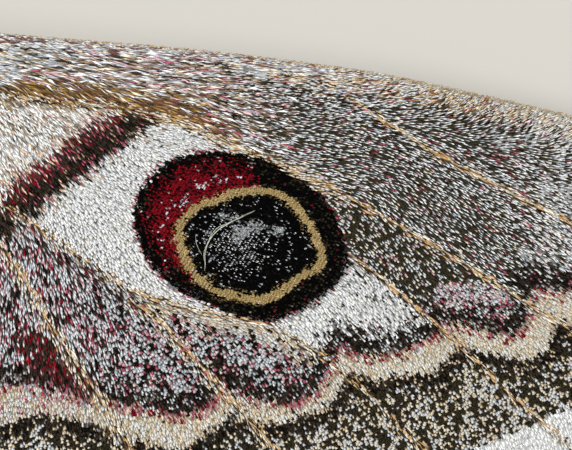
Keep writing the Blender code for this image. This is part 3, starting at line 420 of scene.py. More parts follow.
def srgb(text):
    """The linear colour of a hex code."""
    parts = [int(text[i:i + 2], 16) / 255 for i in (1, 3, 5)]
    return tuple(c / 12.92 if c <= 0.04045 else ((c + 0.055) / 1.055) ** 2.4 for c in parts)


LINEAR = {name: np.array(srgb(code)) for name, code in PALETTE.items()}


def mixture(text):
    """The colours that a text names, linear, and the weight that follows each."""
    words = text.split()
    return np.array([LINEAR[name] for name in words[::2]]), np.array(words[1::2], float)


ZONES = {name: Zone(mixture(ground), mixture(top), *rest)
         for name, (ground, top, *rest) in ZONE_TABLE.items()}
ZONE_NAMES = list(ZONES)
FINE_ZONES = [ZONE_NAMES.index(name) for name in
              ("ring", "crescent", "dots", "ochre", "pupil", "specks", "glint")]
SMOOTH_ZONES = [ZONE_NAMES.index(name) for name in ("white", "cream", "margin")]


def unit(vectors):
    """The same directions, each with a length of one."""
    return vectors / np.maximum(np.linalg.norm(vectors, axis=-1, keepdims=True), 1e-12)


def placed(points):
    """Millimetres to metres in the frame."""
    points = np.asarray(points, float).copy()
    points[..., 1] += SHIFT_Y
    return points * MM


def spline(points, places):
    """Points on a smooth curve through the given ones, at places counted in them."""
    points = np.asarray(points, float)
    places = np.asarray(places, float)
    last = len(points) - 1
    i = np.clip(places.astype(int), 0, last - 1)
    f = (places - i)[:, None]
    before = points[np.maximum(i - 1, 0)]
    a = points[i]
    b = points[i + 1]
    after = points[np.minimum(i + 2, last)]
    return 0.5 * (2 * a + (b - before) * f + (2 * before - 5 * a + 4 * b - after) * f ** 2
                  + (3 * a - before - 3 * b + after) * f ** 3)


def even_line(points, count, fine=400):
    """count points, evenly far apart along the smooth curve through the points."""
    dense = spline(points, np.linspace(0, len(points) - 1, fine))
    steps = np.linalg.norm(np.diff(dense, axis=0), axis=1)
    reach = np.concatenate([[0.0], np.cumsum(steps)])
    want = np.linspace(0, reach[-1], count)
    return np.stack([np.interp(want, reach, column) for column in dense.T], axis=1)


def line_height(points, x):
    """y of a line that runs across the wing, at each x."""
    xs, ys = zip(*points)
    return np.interp(x, xs, ys)


def distance_to(points, x, y):
    """How far each place is from a line through the points."""
    found = np.full(np.shape(x), np.inf)
    points = np.asarray(points, float)
    for (ax, ay), (bx, by) in zip(points, points[1:]):
        dx, dy = bx - ax, by - ay
        share = np.clip(((x - ax) * dx + (y - ay) * dy) / (dx * dx + dy * dy), 0, 1)
        found = np.minimum(found, np.hypot(x - ax - share * dx, y - ay - share * dy))
    return found


def mottling(x, y, cell, seed):
    """Smooth random patches about one cell wide, from 0 to 1."""
    table = np.random.default_rng(seed).random((CLUMP_TABLE, CLUMP_TABLE))
    u, v = np.asarray(x) / cell, np.asarray(y) / cell
    i, j = np.floor(u).astype(int), np.floor(v).astype(int)
    u, v = u - i, v - j
    u = u * u * (3 - 2 * u)
    v = v * v * (3 - 2 * v)
    near, far = i % CLUMP_TABLE, (i + 1) % CLUMP_TABLE
    low, high = (table[near, k % CLUMP_TABLE] * (1 - u) + table[far, k % CLUMP_TABLE] * u for k in (j, j + 1))
    return np.clip((low * (1 - v) + high * v - 0.5) * CLUMP_CONTRAST + 0.5, 0, 1)


def turned(x, y, angle):
    """Coordinates turned anticlockwise about zero."""
    return x * math.cos(angle) - y * math.sin(angle), x * math.sin(angle) + y * math.cos(angle)


def front_edge_y(x):
    """Where the forewing's front edge is, at each x."""
    return line_height(FOREWING["lines"][0], x)


def ripple(x, y):
    """The waves of a marking that follows the margin, from 0 to 1."""
    return np.abs(np.sin((x * 0.9 - y * 0.55) * 1.15))


def wing_z(x, y):
    """Height of the wings' common surface."""
    out = x - HINGE_X
    z = HINGE_Z - SLOPE * out - TIP_SAG * (out / SPAN) ** 2
    behind = np.maximum(CREST_Y - CREST_SWEEP * out - y, 0)
    z = z - REAR_DROP * (behind / REAR_REACH) ** 2
    rolled = np.maximum(y - front_edge_y(x) + EDGE_WIDTH, 0) / EDGE_WIDTH
    tip = np.clip((x - EDGE_TIP[0]) / (EDGE_TIP[1] - EDGE_TIP[0]), 0, 1)
    fade = np.clip(out / EDGE_FADE, 0, 1) * (1 - (1 - EDGE_TIP_SHARE) * tip)
    return z - EDGE_DROP * fade * rolled ** 2


class Wing:
    """A wing's shape: points in rows from its root to its margin, in plan, and its veins."""

    def __init__(self, data):
        self.fore = data is FOREWING
        self.level = data["level"]
        lines = np.stack([even_line(points, GRID_ALONG) for points in data["lines"]])
        lanes = np.linspace(0, len(lines) - 1, GRID_ACROSS)
        whole = spline(lines.reshape(len(lines), -1), lanes).reshape(GRID_ACROSS, GRID_ALONG, 2)
        self.margin = whole[::2, -1]
        shares = np.linspace(0, INSET, GRID_ALONG)
        plan = np.stack([spline(row, shares * (GRID_ALONG - 1)) for row in whole])
        along = unit(np.gradient(plan, axis=1))
        lane = np.repeat(lanes[:, None], GRID_ALONG, axis=1)
        share = np.repeat(shares[None, :], GRID_ACROSS, axis=0)
        # For each point: x, y, the veins' direction there, its lane between them, and its way out.
        self.field = np.dstack([plan, along, lane, share])
        self.veins = [line[int(start * (GRID_ALONG - 1))::VEIN_STEP]
                      for line, start in zip(lines, data["vein_starts"]) if start is not None]
        a, b = np.gradient(plan, lanes, axis=0), np.gradient(plan, shares, axis=1)
        area = a[..., 0] * b[..., 1] - a[..., 1] * b[..., 0]
        # How lane and share change with x and y, to read them between the points.
        self.slope = np.dstack([b[..., 1], -b[..., 0], -a[..., 1], a[..., 0]]) / area[..., None]
        self.tree = KDTree(lane.size)
        for k, (x, y) in enumerate(plan.reshape(-1, 2)):
            self.tree.insert((x, y, 0.0), k)
        self.tree.balance()
        self.rows_turn = math.atan2(*along.mean(axis=(0, 1))[::-1])

    def vein_distance(self, x, y):
        """How far each place is from the nearest vein."""
        return np.min([distance_to(vein, x, y) for vein in self.veins], axis=0)

    def height(self, x, y, lane, side):
        """z of the wing's upper side, or with side -1 of its under side."""
        z = wing_z(x, y) + self.level + side * MEMBRANE / 2
        return z + PLEAT * (np.abs(np.sin(math.pi * lane)) - 1)

    def scale_height(self, x, y, lane, side):
        """The same under a scale, which lies higher over a vein."""
        z = self.height(x, y, lane, side)
        if side > 0:
            z = z + VEIN_HEIGHT * np.exp(-(self.vein_distance(x, y) / VEIN_WIDTH) ** 2)
        return z

    def places(self, spacing, phase, draw, around=None):
        """Slightly uneven rows of places over the wing, each with the values of the field; or only those
        around a point."""
        flat = self.field[..., :2].reshape(-1, 2)
        middle = flat.mean(axis=0)
        reach = np.linalg.norm(flat - middle, axis=1).max()
        step, gap = spacing * ROW_SHAPE[0], spacing * ROW_SHAPE[1]
        row, column = np.meshgrid(np.arange(-reach, reach, step), np.arange(-reach, reach, gap))
        column = column + (np.arange(row.shape[1]) % 2)[None, :] * gap / 2 + phase * gap / 2
        row = row + phase * step / 2 + draw.uniform(-1, 1, row.shape) * ROW_JITTER * step
        column = column + draw.uniform(-1, 1, row.shape) * ROW_JITTER * gap
        off_x, off_y = turned(row, column, self.rows_turn)
        x, y = middle[0] + off_x, middle[1] + off_y
        (low_x, low_y), (high_x, high_y) = flat.min(axis=0), flat.max(axis=0)
        near = (x > low_x) & (x < high_x) & (y > low_y) & (y < high_y)
        if around is not None:
            near &= np.hypot(x - around[0], y - around[1]) < FINE_REACH
        x, y = x[near], y[near]
        found = [self.tree.find((a, b, 0.0)) for a, b in zip(x, y)]
        nearest = np.array([each[1] for each in found])
        field = self.field.reshape(-1, 6)[nearest]
        slope = self.slope.reshape(-1, 4)[nearest]
        off_x, off_y = x - field[:, 0], y - field[:, 1]
        lane = field[:, 4] + slope[:, 0] * off_x + slope[:, 1] * off_y
        share = field[:, 5] + slope[:, 2] * off_x + slope[:, 3] * off_y
        close = np.array([each[2] for each in found]) < GRID_REACH
        inside = close & (lane > 0) & (lane < self.field[-1, 0, 4]) & (share > 0.0) & (share < INSET)
        made = np.column_stack([x, y, field[:, 2:4], lane, share])
        return made[inside].T


class Zones:
    """The zone that each of many places on a wing belongs to, painted over one after the other."""

    def __init__(self, first, count, draw):
        self.index = np.full(count, ZONE_NAMES.index(first))
        self.draw = draw

    def paint(self, name, where, chance=1.0):
        """Gives the places to a zone, or each of them with this chance."""
        where = where & (self.draw.random(where.size) < chance)
        self.index[where] = ZONE_NAMES.index(name)

    def values(self, field):
        """For each place, the number that its zone has in this field."""
        return np.array([getattr(zone, field) for zone in ZONES.values()])[self.index]


def outline_reach(points, centre, angle):
    """How far a closed outline is from its centre at each angle."""
    off = np.asarray(points) - centre
    angles = np.arctan2(off[:, 1], off[:, 0])
    order = np.argsort(angles)
    return np.interp(angle, angles[order], np.hypot(*off.T)[order], period=2 * math.pi)


def paint_eyespot(zones, x, y):
    """The eye-shaped mark, given places in the forewing's own plan. Returns how far each is outside it."""
    paint, spot = zones.paint, EYESPOT
    centre = np.array(spot["centre"])
    away = np.hypot(x - centre[0], y - centre[1])
    angle = np.arctan2(y - centre[1], x - centre[0])
    ring = outline_reach(spot["ring"], centre, angle)
    ochre = outline_reach(spot["ochre"], centre, angle)
    inner = ochre - OCHRE_WIDTH
    low, high = spot["crescent"]
    turn = angle % (2 * math.pi)
    crescent = (turn > low) & (turn < high)
    paint("fringe", away < ring + 0.1, np.where(crescent, 0.7, 0.35))
    paint("ring", away < ring)
    edge = ring - zones.draw.uniform(*RING_EDGE, x.size)
    tapered = np.clip(np.minimum(turn - low, high - turn) / CRESCENT_TAPER, 0, 1)
    paint("crescent", crescent & (away < ochre + (edge - ochre) * tapered) & (away > ochre - 0.1))
    to_dot = np.min([np.hypot(x - a, y - b) for a, b in spot["dots"]], axis=0)
    paint("dots", to_dot < DOT_RADIUS)
    paint("ochre", away < ochre)
    paint("pupil", away < inner)
    specks = spot["specks"]
    haze = 1.5 - np.hypot(x - specks[0], (y - specks[1]) * 1.15)
    paint("specks", away < inner - 0.08, np.clip(haze * 0.75, 0.09, 0.8))
    for a, b, radius in spot["glints"]:
        reach = radius * zones.draw.uniform(0.6, 1.2, x.size)
        paint("glint", np.hypot(x - a, (y - b) * 1.3) < reach, 0.85)
    paint("pupil", (away < inner) & (distance_to(spot["slit"], x, y) < CREASE_WIDTH), 0.6)
    return away - ring


# Each painter is given places on a wing and how far out each is, as a share. It lays one zone over the
# other, with the distances of their borders in mm and the chance that a scale there belongs to it.


def paint_forewing(wing, x, y, _, draw):
    """The zones of the forewing's upper side."""
    zones = Zones("frost", x.size, draw)
    paint = zones.paint
    above_cell = y - line_height(UPPER_CELL, x)
    below_cell = line_height(LOWER_CELL, x) - y
    upper, lower = above_cell > 0, below_cell > 0
    under_median = y < line_height(MEDIAN, x)
    margin = distance_to(wing.margin, x, y)
    to_scallops = distance_to(SCALLOPS, x, y)
    past_scallops = y < line_height(SCALLOPS, x)
    to_line = distance_to(OUTER_LINE, x, y)
    past_line = y < line_height(OUTER_LINE, x)
    to_band = distance_to(BAND, x, y)
    basal = x < line_height([(along, across) for across, along in BAND], y)
    front = front_edge_y(x) - y
    vein = wing.vein_distance(x, y)

    # Before and in the cell, and behind it down to the scallops.
    paint("mane", upper, np.clip((24 - x) / 5, 0, 1))
    paint("tawny", upper, np.clip(2.0 - above_cell / 0.5, 0, 1) * np.clip((22 - x) / 2, 0, 0.9))
    paint("fan", upper & (x > 19), np.clip((x - 19) / 7, 0, 1) * np.clip(2.0 - front / 0.75, 0, 1))
    paint("white", ~upper & ~lower & ~basal & (x < 24))
    paint("olive", ~upper & ~under_median & (x > 23.6))
    paint("white", ~lower & under_median & (x > 23.6))
    to_edge = np.minimum(to_scallops, distance_to(MEDIAN, x, y) + 0.4)
    paint("scallop", ~lower & under_median & (x > 24.6), np.clip((1.5 - to_edge) / 1.1, 0, 1) * 0.34)
    paint("dusk", ~lower & under_median & (x > 27.8), 0.6)
    behind = lower & ~basal
    paint("speckle", behind)
    paint("shag", behind, np.clip((19.5 - x) / 2, 0, 1))
    paint("dusk", behind, np.clip(1.2 - to_scallops, 0, 1) * 0.5)
    paint("cream", behind & (below_cell < 0.8) & (x > 19.5), np.clip(1.0 - below_cell / 0.8, 0, 1))
    paint("white", upper & ~past_scallops & (x > 29.5), np.clip((x - 29.5) / 6, 0, 1) * 0.5)

    # The wing's root and the dark red band that ends it.
    paint("down", basal & ~upper & ~lower & (to_band < 3.2), 0.95)
    paint("base", basal & (lower | (to_band > 3.0)), np.clip(to_band - 0.4, 0, 1))
    paint("base", x < 12.5, np.clip((12.5 - x) / 3, 0, 1))
    strayed = to_band + zones.draw.normal(0, 0.1, x.size)
    paint("peach", ~upper & basal & (strayed < 0.75), 0.75)
    paint("band_red", ~upper & basal & (strayed < 0.4))
    paint("band_dark", ~upper & ~basal & (strayed < 0.7))
    paint("band_red", ~upper & ~basal & (strayed < 0.1), 0.5)
    paint("peach", ~upper & ~basal & (strayed > 0.7) & (strayed < 0.9), 0.4)

    # The scalloped lines and the margin.
    paint("blush", np.hypot((x - BLUSH[0]) * 0.6, y - BLUSH[1]) < 0.7, 0.6)
    paint("scallop", ~past_scallops & (to_scallops < 0.48) & ~basal)
    paint("scallop", ~past_scallops & (to_scallops < 0.8) & ~basal, 0.4)
    to_blotch = distance_to(BLOTCH, x, y)
    paint("blotch", ~past_scallops & (to_blotch < 0.75), np.clip(1.9 - to_blotch / 0.4, 0, 0.9))
    paint("cream", past_scallops)
    paint("fringe", past_scallops & (to_scallops < 0.22), np.where(x < 22, 0.75, 0.6))
    paint("blush", past_scallops & (x < 18), np.clip((18 - x) / 3, 0, 0.35))
    paint("mottle", past_line)
    paint("outline", to_line < 0.2)
    paint("outline", past_line & (to_line < 0.4), 0.45)
    paint("margin", past_line & (margin < WHITE_BAND))
    paint("border", margin < BORDER)
    paint("crimson", (np.hypot(x - APEX[0], (y - APEX[1]) * 0.8) < 1.1) & (margin > 0.5), 0.6)

    # The eye-shaped mark, the pale scales along the veins and those of the front edge.
    outside = paint_eyespot(zones, x, y)
    over_spot = (outside > 0) & (outside < 0.5) & (y > -2.6)
    paint("buff", over_spot & (vein < 0.24), 0.85)
    bare = (outside > 0.05) & (margin > 0.8)
    paint("buff", bare & (vein < np.interp(x, (21, 25), (0.2, 0.08))), 0.55)
    paint("gold", bare & (vein < 0.05), 0.7)
    strip = np.clip(1.6 - front / COSTA_STRIP, 0, 1) * np.clip((28 - x) / 4, 0.1, 1)
    paint("costa", front < COSTA_STRIP, strip)
    paint("rim", front < RIM + 0.16 * np.clip((x - 23) / 6, 0, 1))
    return zones


def paint_hindwing(wing, x, y, share, draw):
    """The zones of the hindwing's upper side."""
    zones = Zones("base", x.size, draw)
    paint = zones.paint
    margin = distance_to(wing.margin, x, y)
    wave = ripple(x, y) * 0.35
    paint("white", share > 0.34, np.clip((share - 0.34) * 12, 0, 1))
    paint("band_dark", np.abs(share - 0.33 - 0.02 * wave) < 0.022)
    paint("band_red", np.abs(share - 0.30 - 0.02 * wave) < 0.018, 0.7)
    paint("speckle", share > 0.5, np.clip((share - 0.5) * 9, 0, 0.9))
    for name, edge in HIND_LINES:
        paint(name, margin - wave < edge)
    paint("margin", margin < WHITE_BAND)
    paint("border", margin < BORDER)
    off_x = (x - HIND_EYESPOT_CENTRE[0]) / HIND_EYESPOT_SIZE
    off_y = (y - HIND_EYESPOT_CENTRE[1]) / HIND_EYESPOT_SIZE
    turned_x, turned_y = turned(off_x, off_y, HIND_EYESPOT_TURN)
    paint_eyespot(zones, EYESPOT["centre"][0] + turned_x, EYESPOT["centre"][1] + turned_y)
    vein = wing.vein_distance(x, y)
    paint("buff", (vein < 0.09) & (np.hypot(off_x, off_y) > 2.9) & (margin > 0.9), 0.8)
    return zones


def paint_under(wing, x, y, share, draw):
    """The zones of either wing's under side, paler and simpler than above."""
    zones = Zones("base", x.size, draw)
    paint = zones.paint
    margin = distance_to(wing.margin, x, y)
    paint("cream", share > 0.3, 0.6)
    paint("outline", np.abs(margin - ripple(x, y) * 0.3 - 4.3) < 0.25)
    paint("margin", margin < WHITE_BAND)
    paint("border", margin < BORDER)
    centre = EYESPOT["centre"] if wing.fore else HIND_EYESPOT_CENTRE
    away = np.hypot(x - centre[0], y - centre[1])
    for name, reach in UNDER_EYESPOT:
        paint(name, away < reach)
    return zones


def tints(zones, top, x, y, draw):
    """Each scale's colour, picked from its zone so that the light and the dark ones clump."""
    clump = mottling(x, y, CLUMP, SEED)
    pick = draw.random(x.size)
    colour = np.zeros((x.size, 3))
    for k, zone in enumerate(ZONES.values()):
        here = np.flatnonzero(zones.index == k)
        if not here.size:
            continue
        table, weights = zone.top if top else zone.ground
        reach = np.cumsum(weights) / weights.sum()
        value = pick[here] * (1 - zone.patchiness) + clump[here] * zone.patchiness
        value = np.argsort(np.argsort(value)) / here.size if here.size > 1 else value
        colour[here] = table[np.minimum(np.searchsorted(reach, value), len(table) - 1)]
    return colour * draw.uniform(*TINT_RANGE, x.size)[:, None]


def linked(name, data):
    """A new object of the scene, with this mesh, curve, lens or lamp."""
    made = bpy.data.objects.new(name, data)
    bpy.context.scene.collection.objects.link(made)
    return made


def triangle_mesh(name, points, triangles, colours, uvs=None):
    """A mesh from arrays: points in mm, a colour for each, and an OFBake map if one is given."""
    mesh = bpy.data.meshes.new(name)
    mesh.vertices.add(len(points))
    mesh.vertices.foreach_set("co", placed(points).ravel())
    mesh.loops.add(triangles.size)
    mesh.loops.foreach_set("vertex_index", triangles.ravel().astype(np.int32))
    mesh.polygons.add(len(triangles))
    mesh.polygons.foreach_set("loop_start", np.arange(0, triangles.size, 3, dtype=np.int32))
    mesh.update(calc_edges=True)
    tint = mesh.color_attributes.new("tint", "FLOAT_COLOR", "POINT")
    tint.data.foreach_set("color", np.column_stack([colours, np.ones(len(points))]).ravel())
    if uvs is not None:
        layer = mesh.uv_layers.new(name="OFBake")
        layer.data.foreach_set("uv", uvs[triangles.ravel()].ravel())
    mesh.validate()
    return linked(name, mesh)


def fit(piece, finish, slot, *replaced):
    """Gives a piece its finish, its body and the CAD nodes that it takes the place of. slot is not used."""
    piece.data.materials.append(finish)
    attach(piece, "root")
    if replaced:
        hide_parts(*replaced)


def coat_pieces(name, points, colours, form, roots, finish, slot, side=1):
    """Many small closed slips, alike in form, as pieces that stay small enough. side -1 mirrors them."""
    faces, patch = form
    size = points.shape[1]
    parts = math.ceil(len(points) * len(faces) / MOST_TRIANGLES)
    for k, chosen in enumerate(np.array_split(np.arange(len(points)), parts)):
        corners = points[chosen] * (side, 1, 1)
        triangles = (faces[None] + size * np.arange(len(chosen))[:, None, None]).reshape(-1, 3)
        if side < 0:
            triangles = triangles[:, ::-1]
        low, high = roots[chosen].min(axis=0), roots[chosen].max(axis=0)
        at = BAKE_EDGE + (1 - 2 * BAKE_EDGE) * (roots[chosen] - low) / (high - low)
        uvs = at[:, None] + (patch[None] - 0.5) * BAKE_PATCH
        piece = triangle_mesh(f"{name}_{k + 1}" if parts > 1 else name, corners.reshape(-1, 3), triangles,
                              colours[chosen].reshape(-1, 3), uvs.reshape(-1, 2))
        fit(piece, finish, slot)


# A scale: its root, its left and right shoulder, which stand a little higher, and its tip.
SCALE_FACES = np.array([(0, 2, 1), (1, 2, 3), (0, 1, 3), (0, 3, 2)])
SCALE_PATCH = np.array([(0.5, 0.0), (0.0, 0.6), (1.0, 0.6), (0.5, 1.0)])
# A hair: three points round its root, three round its middle, and its tip.
HAIR_FACES = np.array([(0, 2, 1), (0, 1, 4), (0, 4, 3), (1, 2, 5), (1, 5, 4), (2, 0, 3), (2, 3, 5),
                       (3, 4, 6), (4, 5, 6), (5, 3, 6)])
HAIR_PATCH = np.array([(0.3, 0.0), (0.7, 0.0), (0.5, 0.1), (0.3, 0.5), (0.7, 0.5), (0.5, 0.6), (0.5, 1.0)])


def lean(x, y):
    """How far the forewing's scales turn from its veins: the turns known at some places, blended."""
    near = [1 / ((x - a) ** 2 + (y - b) ** 2 + LEAN_BLEND) ** 2 for a, b, _ in LEANS]
    total = sum(weight * turn for weight, (_, _, turn) in zip(near, LEANS))
    return np.radians(total / sum(near))


def scale_lie(wing, places, front, zones, slender, draw):
    """Which way each scale points, in plan: along the veins, or turned from them where it is known to be."""
    x, y, ahead_x, ahead_y = places[:4]
    turn = np.arctan2(ahead_y, ahead_x)
    on_vein = zones.index == ZONE_NAMES.index("gold")
    if wing.fore:
        turn = turn + lean(x, y) * np.clip(front / EDGE_LIE[0] - EDGE_LIE[1], 0, 1) * ~on_vein
    stray = np.where(on_vein, VEIN_STRAY, SCALE_STRAY + HAIR_STRAY * slender)
    turn = turn + draw.normal(0, 1, x.size) * (stray * np.clip(front / EDGE_STRAY[0], EDGE_STRAY[1], 1))
    return np.stack([np.cos(turn), np.sin(turn)], axis=1)


def scale_corners(wing, places, zones, top, spread, side, draw):
    """The root, the left and right shoulder and the tip of each scale."""
    x, y, _, _, lane, _ = places
    front = front_edge_y(x) - y
    length, width = zones.values("length"), zones.values("width")
    if not top:
        length, width = (np.minimum(size * growth, most) for size, growth, most
                         in zip((length, width), GROUND_GROWTH, GROUND_SIZE))
    size = draw.uniform(*SCALE_RANGE, x.size) * spread ** SPREAD_GROWTH
    # 0 for a blunt scale and 1 for one drawn out into a hair, which is longer near the veins.
    slender = np.clip((BLUNT - width / length) / HAIR_LIKE, 0, 1)
    plump = 1 + slender * (VEIN_GROWTH * np.abs(np.cos(math.pi * lane)) ** 3 - LANE_LOSS)
    length = length * size * plump * (1 + slender * draw.uniform(*HAIR_RANGE, x.size))
    width = width * size * plump
    if wing.fore:
        length = length * np.clip(front / EDGE_SHORT[0], EDGE_SHORT[1], 1)
    along = scale_lie(wing, places, front, zones, slender, draw)
    across = np.stack([-along[:, 1], along[:, 0]], axis=1)
    root = np.stack([x, y], axis=1)
    tip = root + along * length[:, None]
    if wing.fore:
        behind = np.maximum(front, 0)
        past = np.maximum(tip[:, 1] - front_edge_y(tip[:, 0]), EDGE_FRINGE)
        length = length * (behind + EDGE_FRINGE) / (behind + past)
        tip = root + along * length[:, None]
    bend = draw.uniform(-HAIR_BEND, HAIR_BEND, x.size) * length * slender
    shoulder = BLUNT_SHOULDER - SLENDER_SHOULDER * slender
    middle = root + along * (length * shoulder)[:, None] + across * bend[:, None]
    left = middle + across * width[:, None] / 2
    right = middle - across * width[:, None] / 2

    lift = (TOP_LIFT if top else GROUND_LIFT) * draw.uniform(*LIFT_RANGE, x.size)
    lift = lift * np.minimum(length / LIFT_LENGTH, MOST_LIFT)
    lift = lift * np.where(np.isin(zones.index, SMOOTH_ZONES), SMOOTH_LIFT, 1)
    root_height = wing.scale_height(x, y, lane, side)
    tip_height = wing.scale_height(tip[:, 0], tip[:, 1], lane, side) + side * lift
    roll = draw.normal(0, ROLL, x.size) * width
    middle_height = root_height + (tip_height - root_height) * shoulder
    middle_height = middle_height + side * (lift * SHOULDER_SHARE + SHOULDER_LIFT)
    heights = (root_height + side * ROOT_LIFT * top, middle_height + roll, middle_height - roll, tip_height)
    return np.stack([np.column_stack(corner) for corner in zip((root, left, right, tip), heights)], axis=1)


def wing_scales(wing, painter, layer, spread, side, draw):
    """Points, colours and roots of a layer of scales: 0 is the ground, 1 and 2 are the top's two sets of
    rows, and 3 the fine scales of the eye-shaped mark. side is 1 above and -1 beneath."""
    top = layer > 0
    fine = layer == 3
    spacing = (FINE_SPACING if fine else TOP_SPACING if top else GROUND_SPACING) * spread
    eyespot = EYESPOT["centre"] if wing.fore else HIND_EYESPOT_CENTRE
    places = wing.places(spacing, layer == 2, draw, eyespot if fine else None)
    reach, ragged = (FINE_COLOUR_AHEAD, FINE_RAGGED) if fine else (COLOUR_AHEAD, RAGGED)
    x, y, ahead_x, ahead_y, _, share = places
    seen_x = x + ahead_x * reach + draw.normal(0, ragged, x.size)
    seen_y = y + ahead_y * reach + draw.normal(0, ragged, x.size)
    zones = painter(wing, seen_x, seen_y, share, draw)
    if top and side > 0:
        keep = np.isin(zones.index, FINE_ZONES) == fine
        if layer == 2:
            keep &= draw.random(x.size) < zones.values("fullness")
        places = places[:, keep]
        zones.index = zones.index[keep]
    colour = tints(zones, top, places[0], places[1], draw)
    points = scale_corners(wing, places, zones, top, spread, side, draw)
    return held_inside(points), colour[:, None] * SCALE_SHADE[:, None], places[:2].T


def membrane_shell(wing):
    """Points and triangles of a wing's thin skin, closed round its border."""
    x, y, lane = (wing.field[..., k] for k in (0, 1, 4))
    points = [np.dstack([x, y, wing.height(x, y, lane, side)]).reshape(-1, 3) for side in (1, -1)]
    grid = np.arange(x.size).reshape(x.shape)
    quads = np.stack([grid[:-1, :-1], grid[1:, :-1], grid[1:, 1:], grid[:-1, 1:]], axis=-1).reshape(-1, 4)
    border = np.concatenate([grid[0, :-1], grid[:-1, -1], grid[-1, :0:-1], grid[:0:-1, 0]])
    after = np.roll(border, -1)
    wall = np.stack([border, after, after + x.size, border + x.size], axis=-1)
    every = np.concatenate([quads, quads[:, ::-1] + x.size, wall[:, ::-1]])
    return np.concatenate(points), np.concatenate([every[:, [0, 1, 2]], every[:, [0, 2, 3]]])


def add_wing(name, wing, painter, spread):
    """A wing's membrane with its veins, and the coats of scales on both its sides."""
    draw = np.random.default_rng(SEED + len(name))
    x, y, share = (wing.field[..., k].ravel() for k in (0, 1, 5))
    grounds = np.array([weights @ colours / weights.sum()
                        for colours, weights in (zone.ground for zone in ZONES.values())])
    skin_colours = np.concatenate([grounds[paint(wing, x, y, share, draw).index]
                                   for paint in (painter, paint_under)])
    skin_points, triangles = membrane_shell(wing)
    coats = {coat: (wing_scales(wing, painter, layer, spread, 1, draw), (SCALE_FACES, SCALE_PATCH))
             for layer, coat in enumerate(("ground_scales", "scales", "more_scales", "eyespot_scales"))}
    coats["under_scales"] = (wing_scales(wing, paint_under, 1, UNDER_SPREAD, -1, draw),
                             (SCALE_FACES[:, ::-1], SCALE_PATCH))
    for hand, side in HANDS:
        membrane = triangle_mesh(f"{name}_{hand}_membrane", skin_points * (side, 1, 1),
                                 triangles[:, ::-1] if side > 0 else triangles, skin_colours)
        membrane.data.polygons.foreach_set("use_smooth", np.ones(len(triangles), bool))
        fit(membrane, WING_SKIN, "wing_scales", f"{name}_{hand}")
        for coat, ((points, colours, roots), form) in coats.items():
            coat_pieces(f"{name}_{hand}_{coat}", points, colours, form, roots, WING_SCALES, "wing_scales",
                        side)
    add_veins(name, wing)
    add_slit(name, wing)


def hind_plan(points):
    """Points of the forewing's eye-shaped mark, brought to the hindwing's."""
    off = np.asarray(points) - EYESPOT["centre"]
    return np.column_stack(turned(*off.T, -HIND_EYESPOT_TURN)) * HIND_EYESPOT_SIZE + HIND_EYESPOT_CENTRE


def add_veins(name, wing):
    """The thin golden veins, each a bevelled curve."""
    strands = []
    for vein in wing.veins:
        z = wing.height(vein[:, 0], vein[:, 1], np.zeros(len(vein)), 1) + VEIN_HEIGHT - VEIN_SUNK
        strands.append((np.column_stack([vein, z]), np.linspace(*VEIN_TAPER, len(vein))))
    add_strands(f"{name}_veins", strands, VEIN_RADIUS, VEIN)


def add_slit(name, wing):
    """The clear slit in the eye-shaped mark: its two pale lips, which meet at their ends, and a crease."""
    line = even_line(EYESPOT["slit"], SLIT_POINTS)
    ahead = unit(np.gradient(line, axis=0))
    way = np.linspace(0, math.pi, len(line))
    bulge = np.sin(way)[:, None]
    open_by = SLIT_GAP * bulge * (1 + SLIT_UNEVEN * np.sin(SLIT_WAVES * way))[:, None]
    beside = np.column_stack([ahead[:, 1], -ahead[:, 0]])
    lines = (line, line + beside * open_by, even_line(EYESPOT["crease"], SLIT_POINTS))
    strands = []
    for lip, thickness in zip(lines, SLIT_STRANDS):
        if not wing.fore:
            lip = hind_plan(lip)
        lane = wing.field.reshape(-1, 6)[[wing.tree.find((x, y, 0.0))[1] for x, y in lip], 4]
        z = wing.height(lip[:, 0], lip[:, 1], lane, 1) + SLIT_LIFT
        strands.append((np.column_stack([lip, z]), (0.3 + 0.7 * bulge[:, 0]) * thickness))
    add_strands(f"{name}_slit", strands, SLIT_RADIUS, SLIT_LIP)


def add_strands(name, strands, thickness, finish, slot="wing_scales"):
    """Thin round strands on the right, each from its points and radii, and their mirror image."""
    curve = bpy.data.curves.new(name, "CURVE")
    curve.dimensions = "3D"
    curve.bevel_depth = thickness * MM
    curve.bevel_resolution = 1
    curve.use_fill_caps = True
    for middle, radii in strands:
        strand = curve.splines.new("POLY")
        strand.points.add(len(middle) - 1)
        for point, place, radius in zip(strand.points, placed(middle), radii):
            point.co = (*place, 1)
            point.radius = radius
    first = linked(f"{name}_right", curve)
    select_only(first)
    bpy.ops.object.convert(target="MESH")
    bpy.ops.object.shade_smooth()
    bpy.ops.object.duplicate()
    second = bpy.context.active_object
    second.name = f"{name}_left"
    bpy.ops.object.mode_set(mode="EDIT")
    bpy.ops.mesh.select_all(action="SELECT")
    bpy.ops.transform.mirror(constraint_axis=(True, False, False), center_override=(0, 0, 0))
    bpy.ops.mesh.normals_make_consistent(inside=False)
    bpy.ops.object.mode_set(mode="OBJECT")
    for piece in (first, second):
        fit(piece, finish, slot)


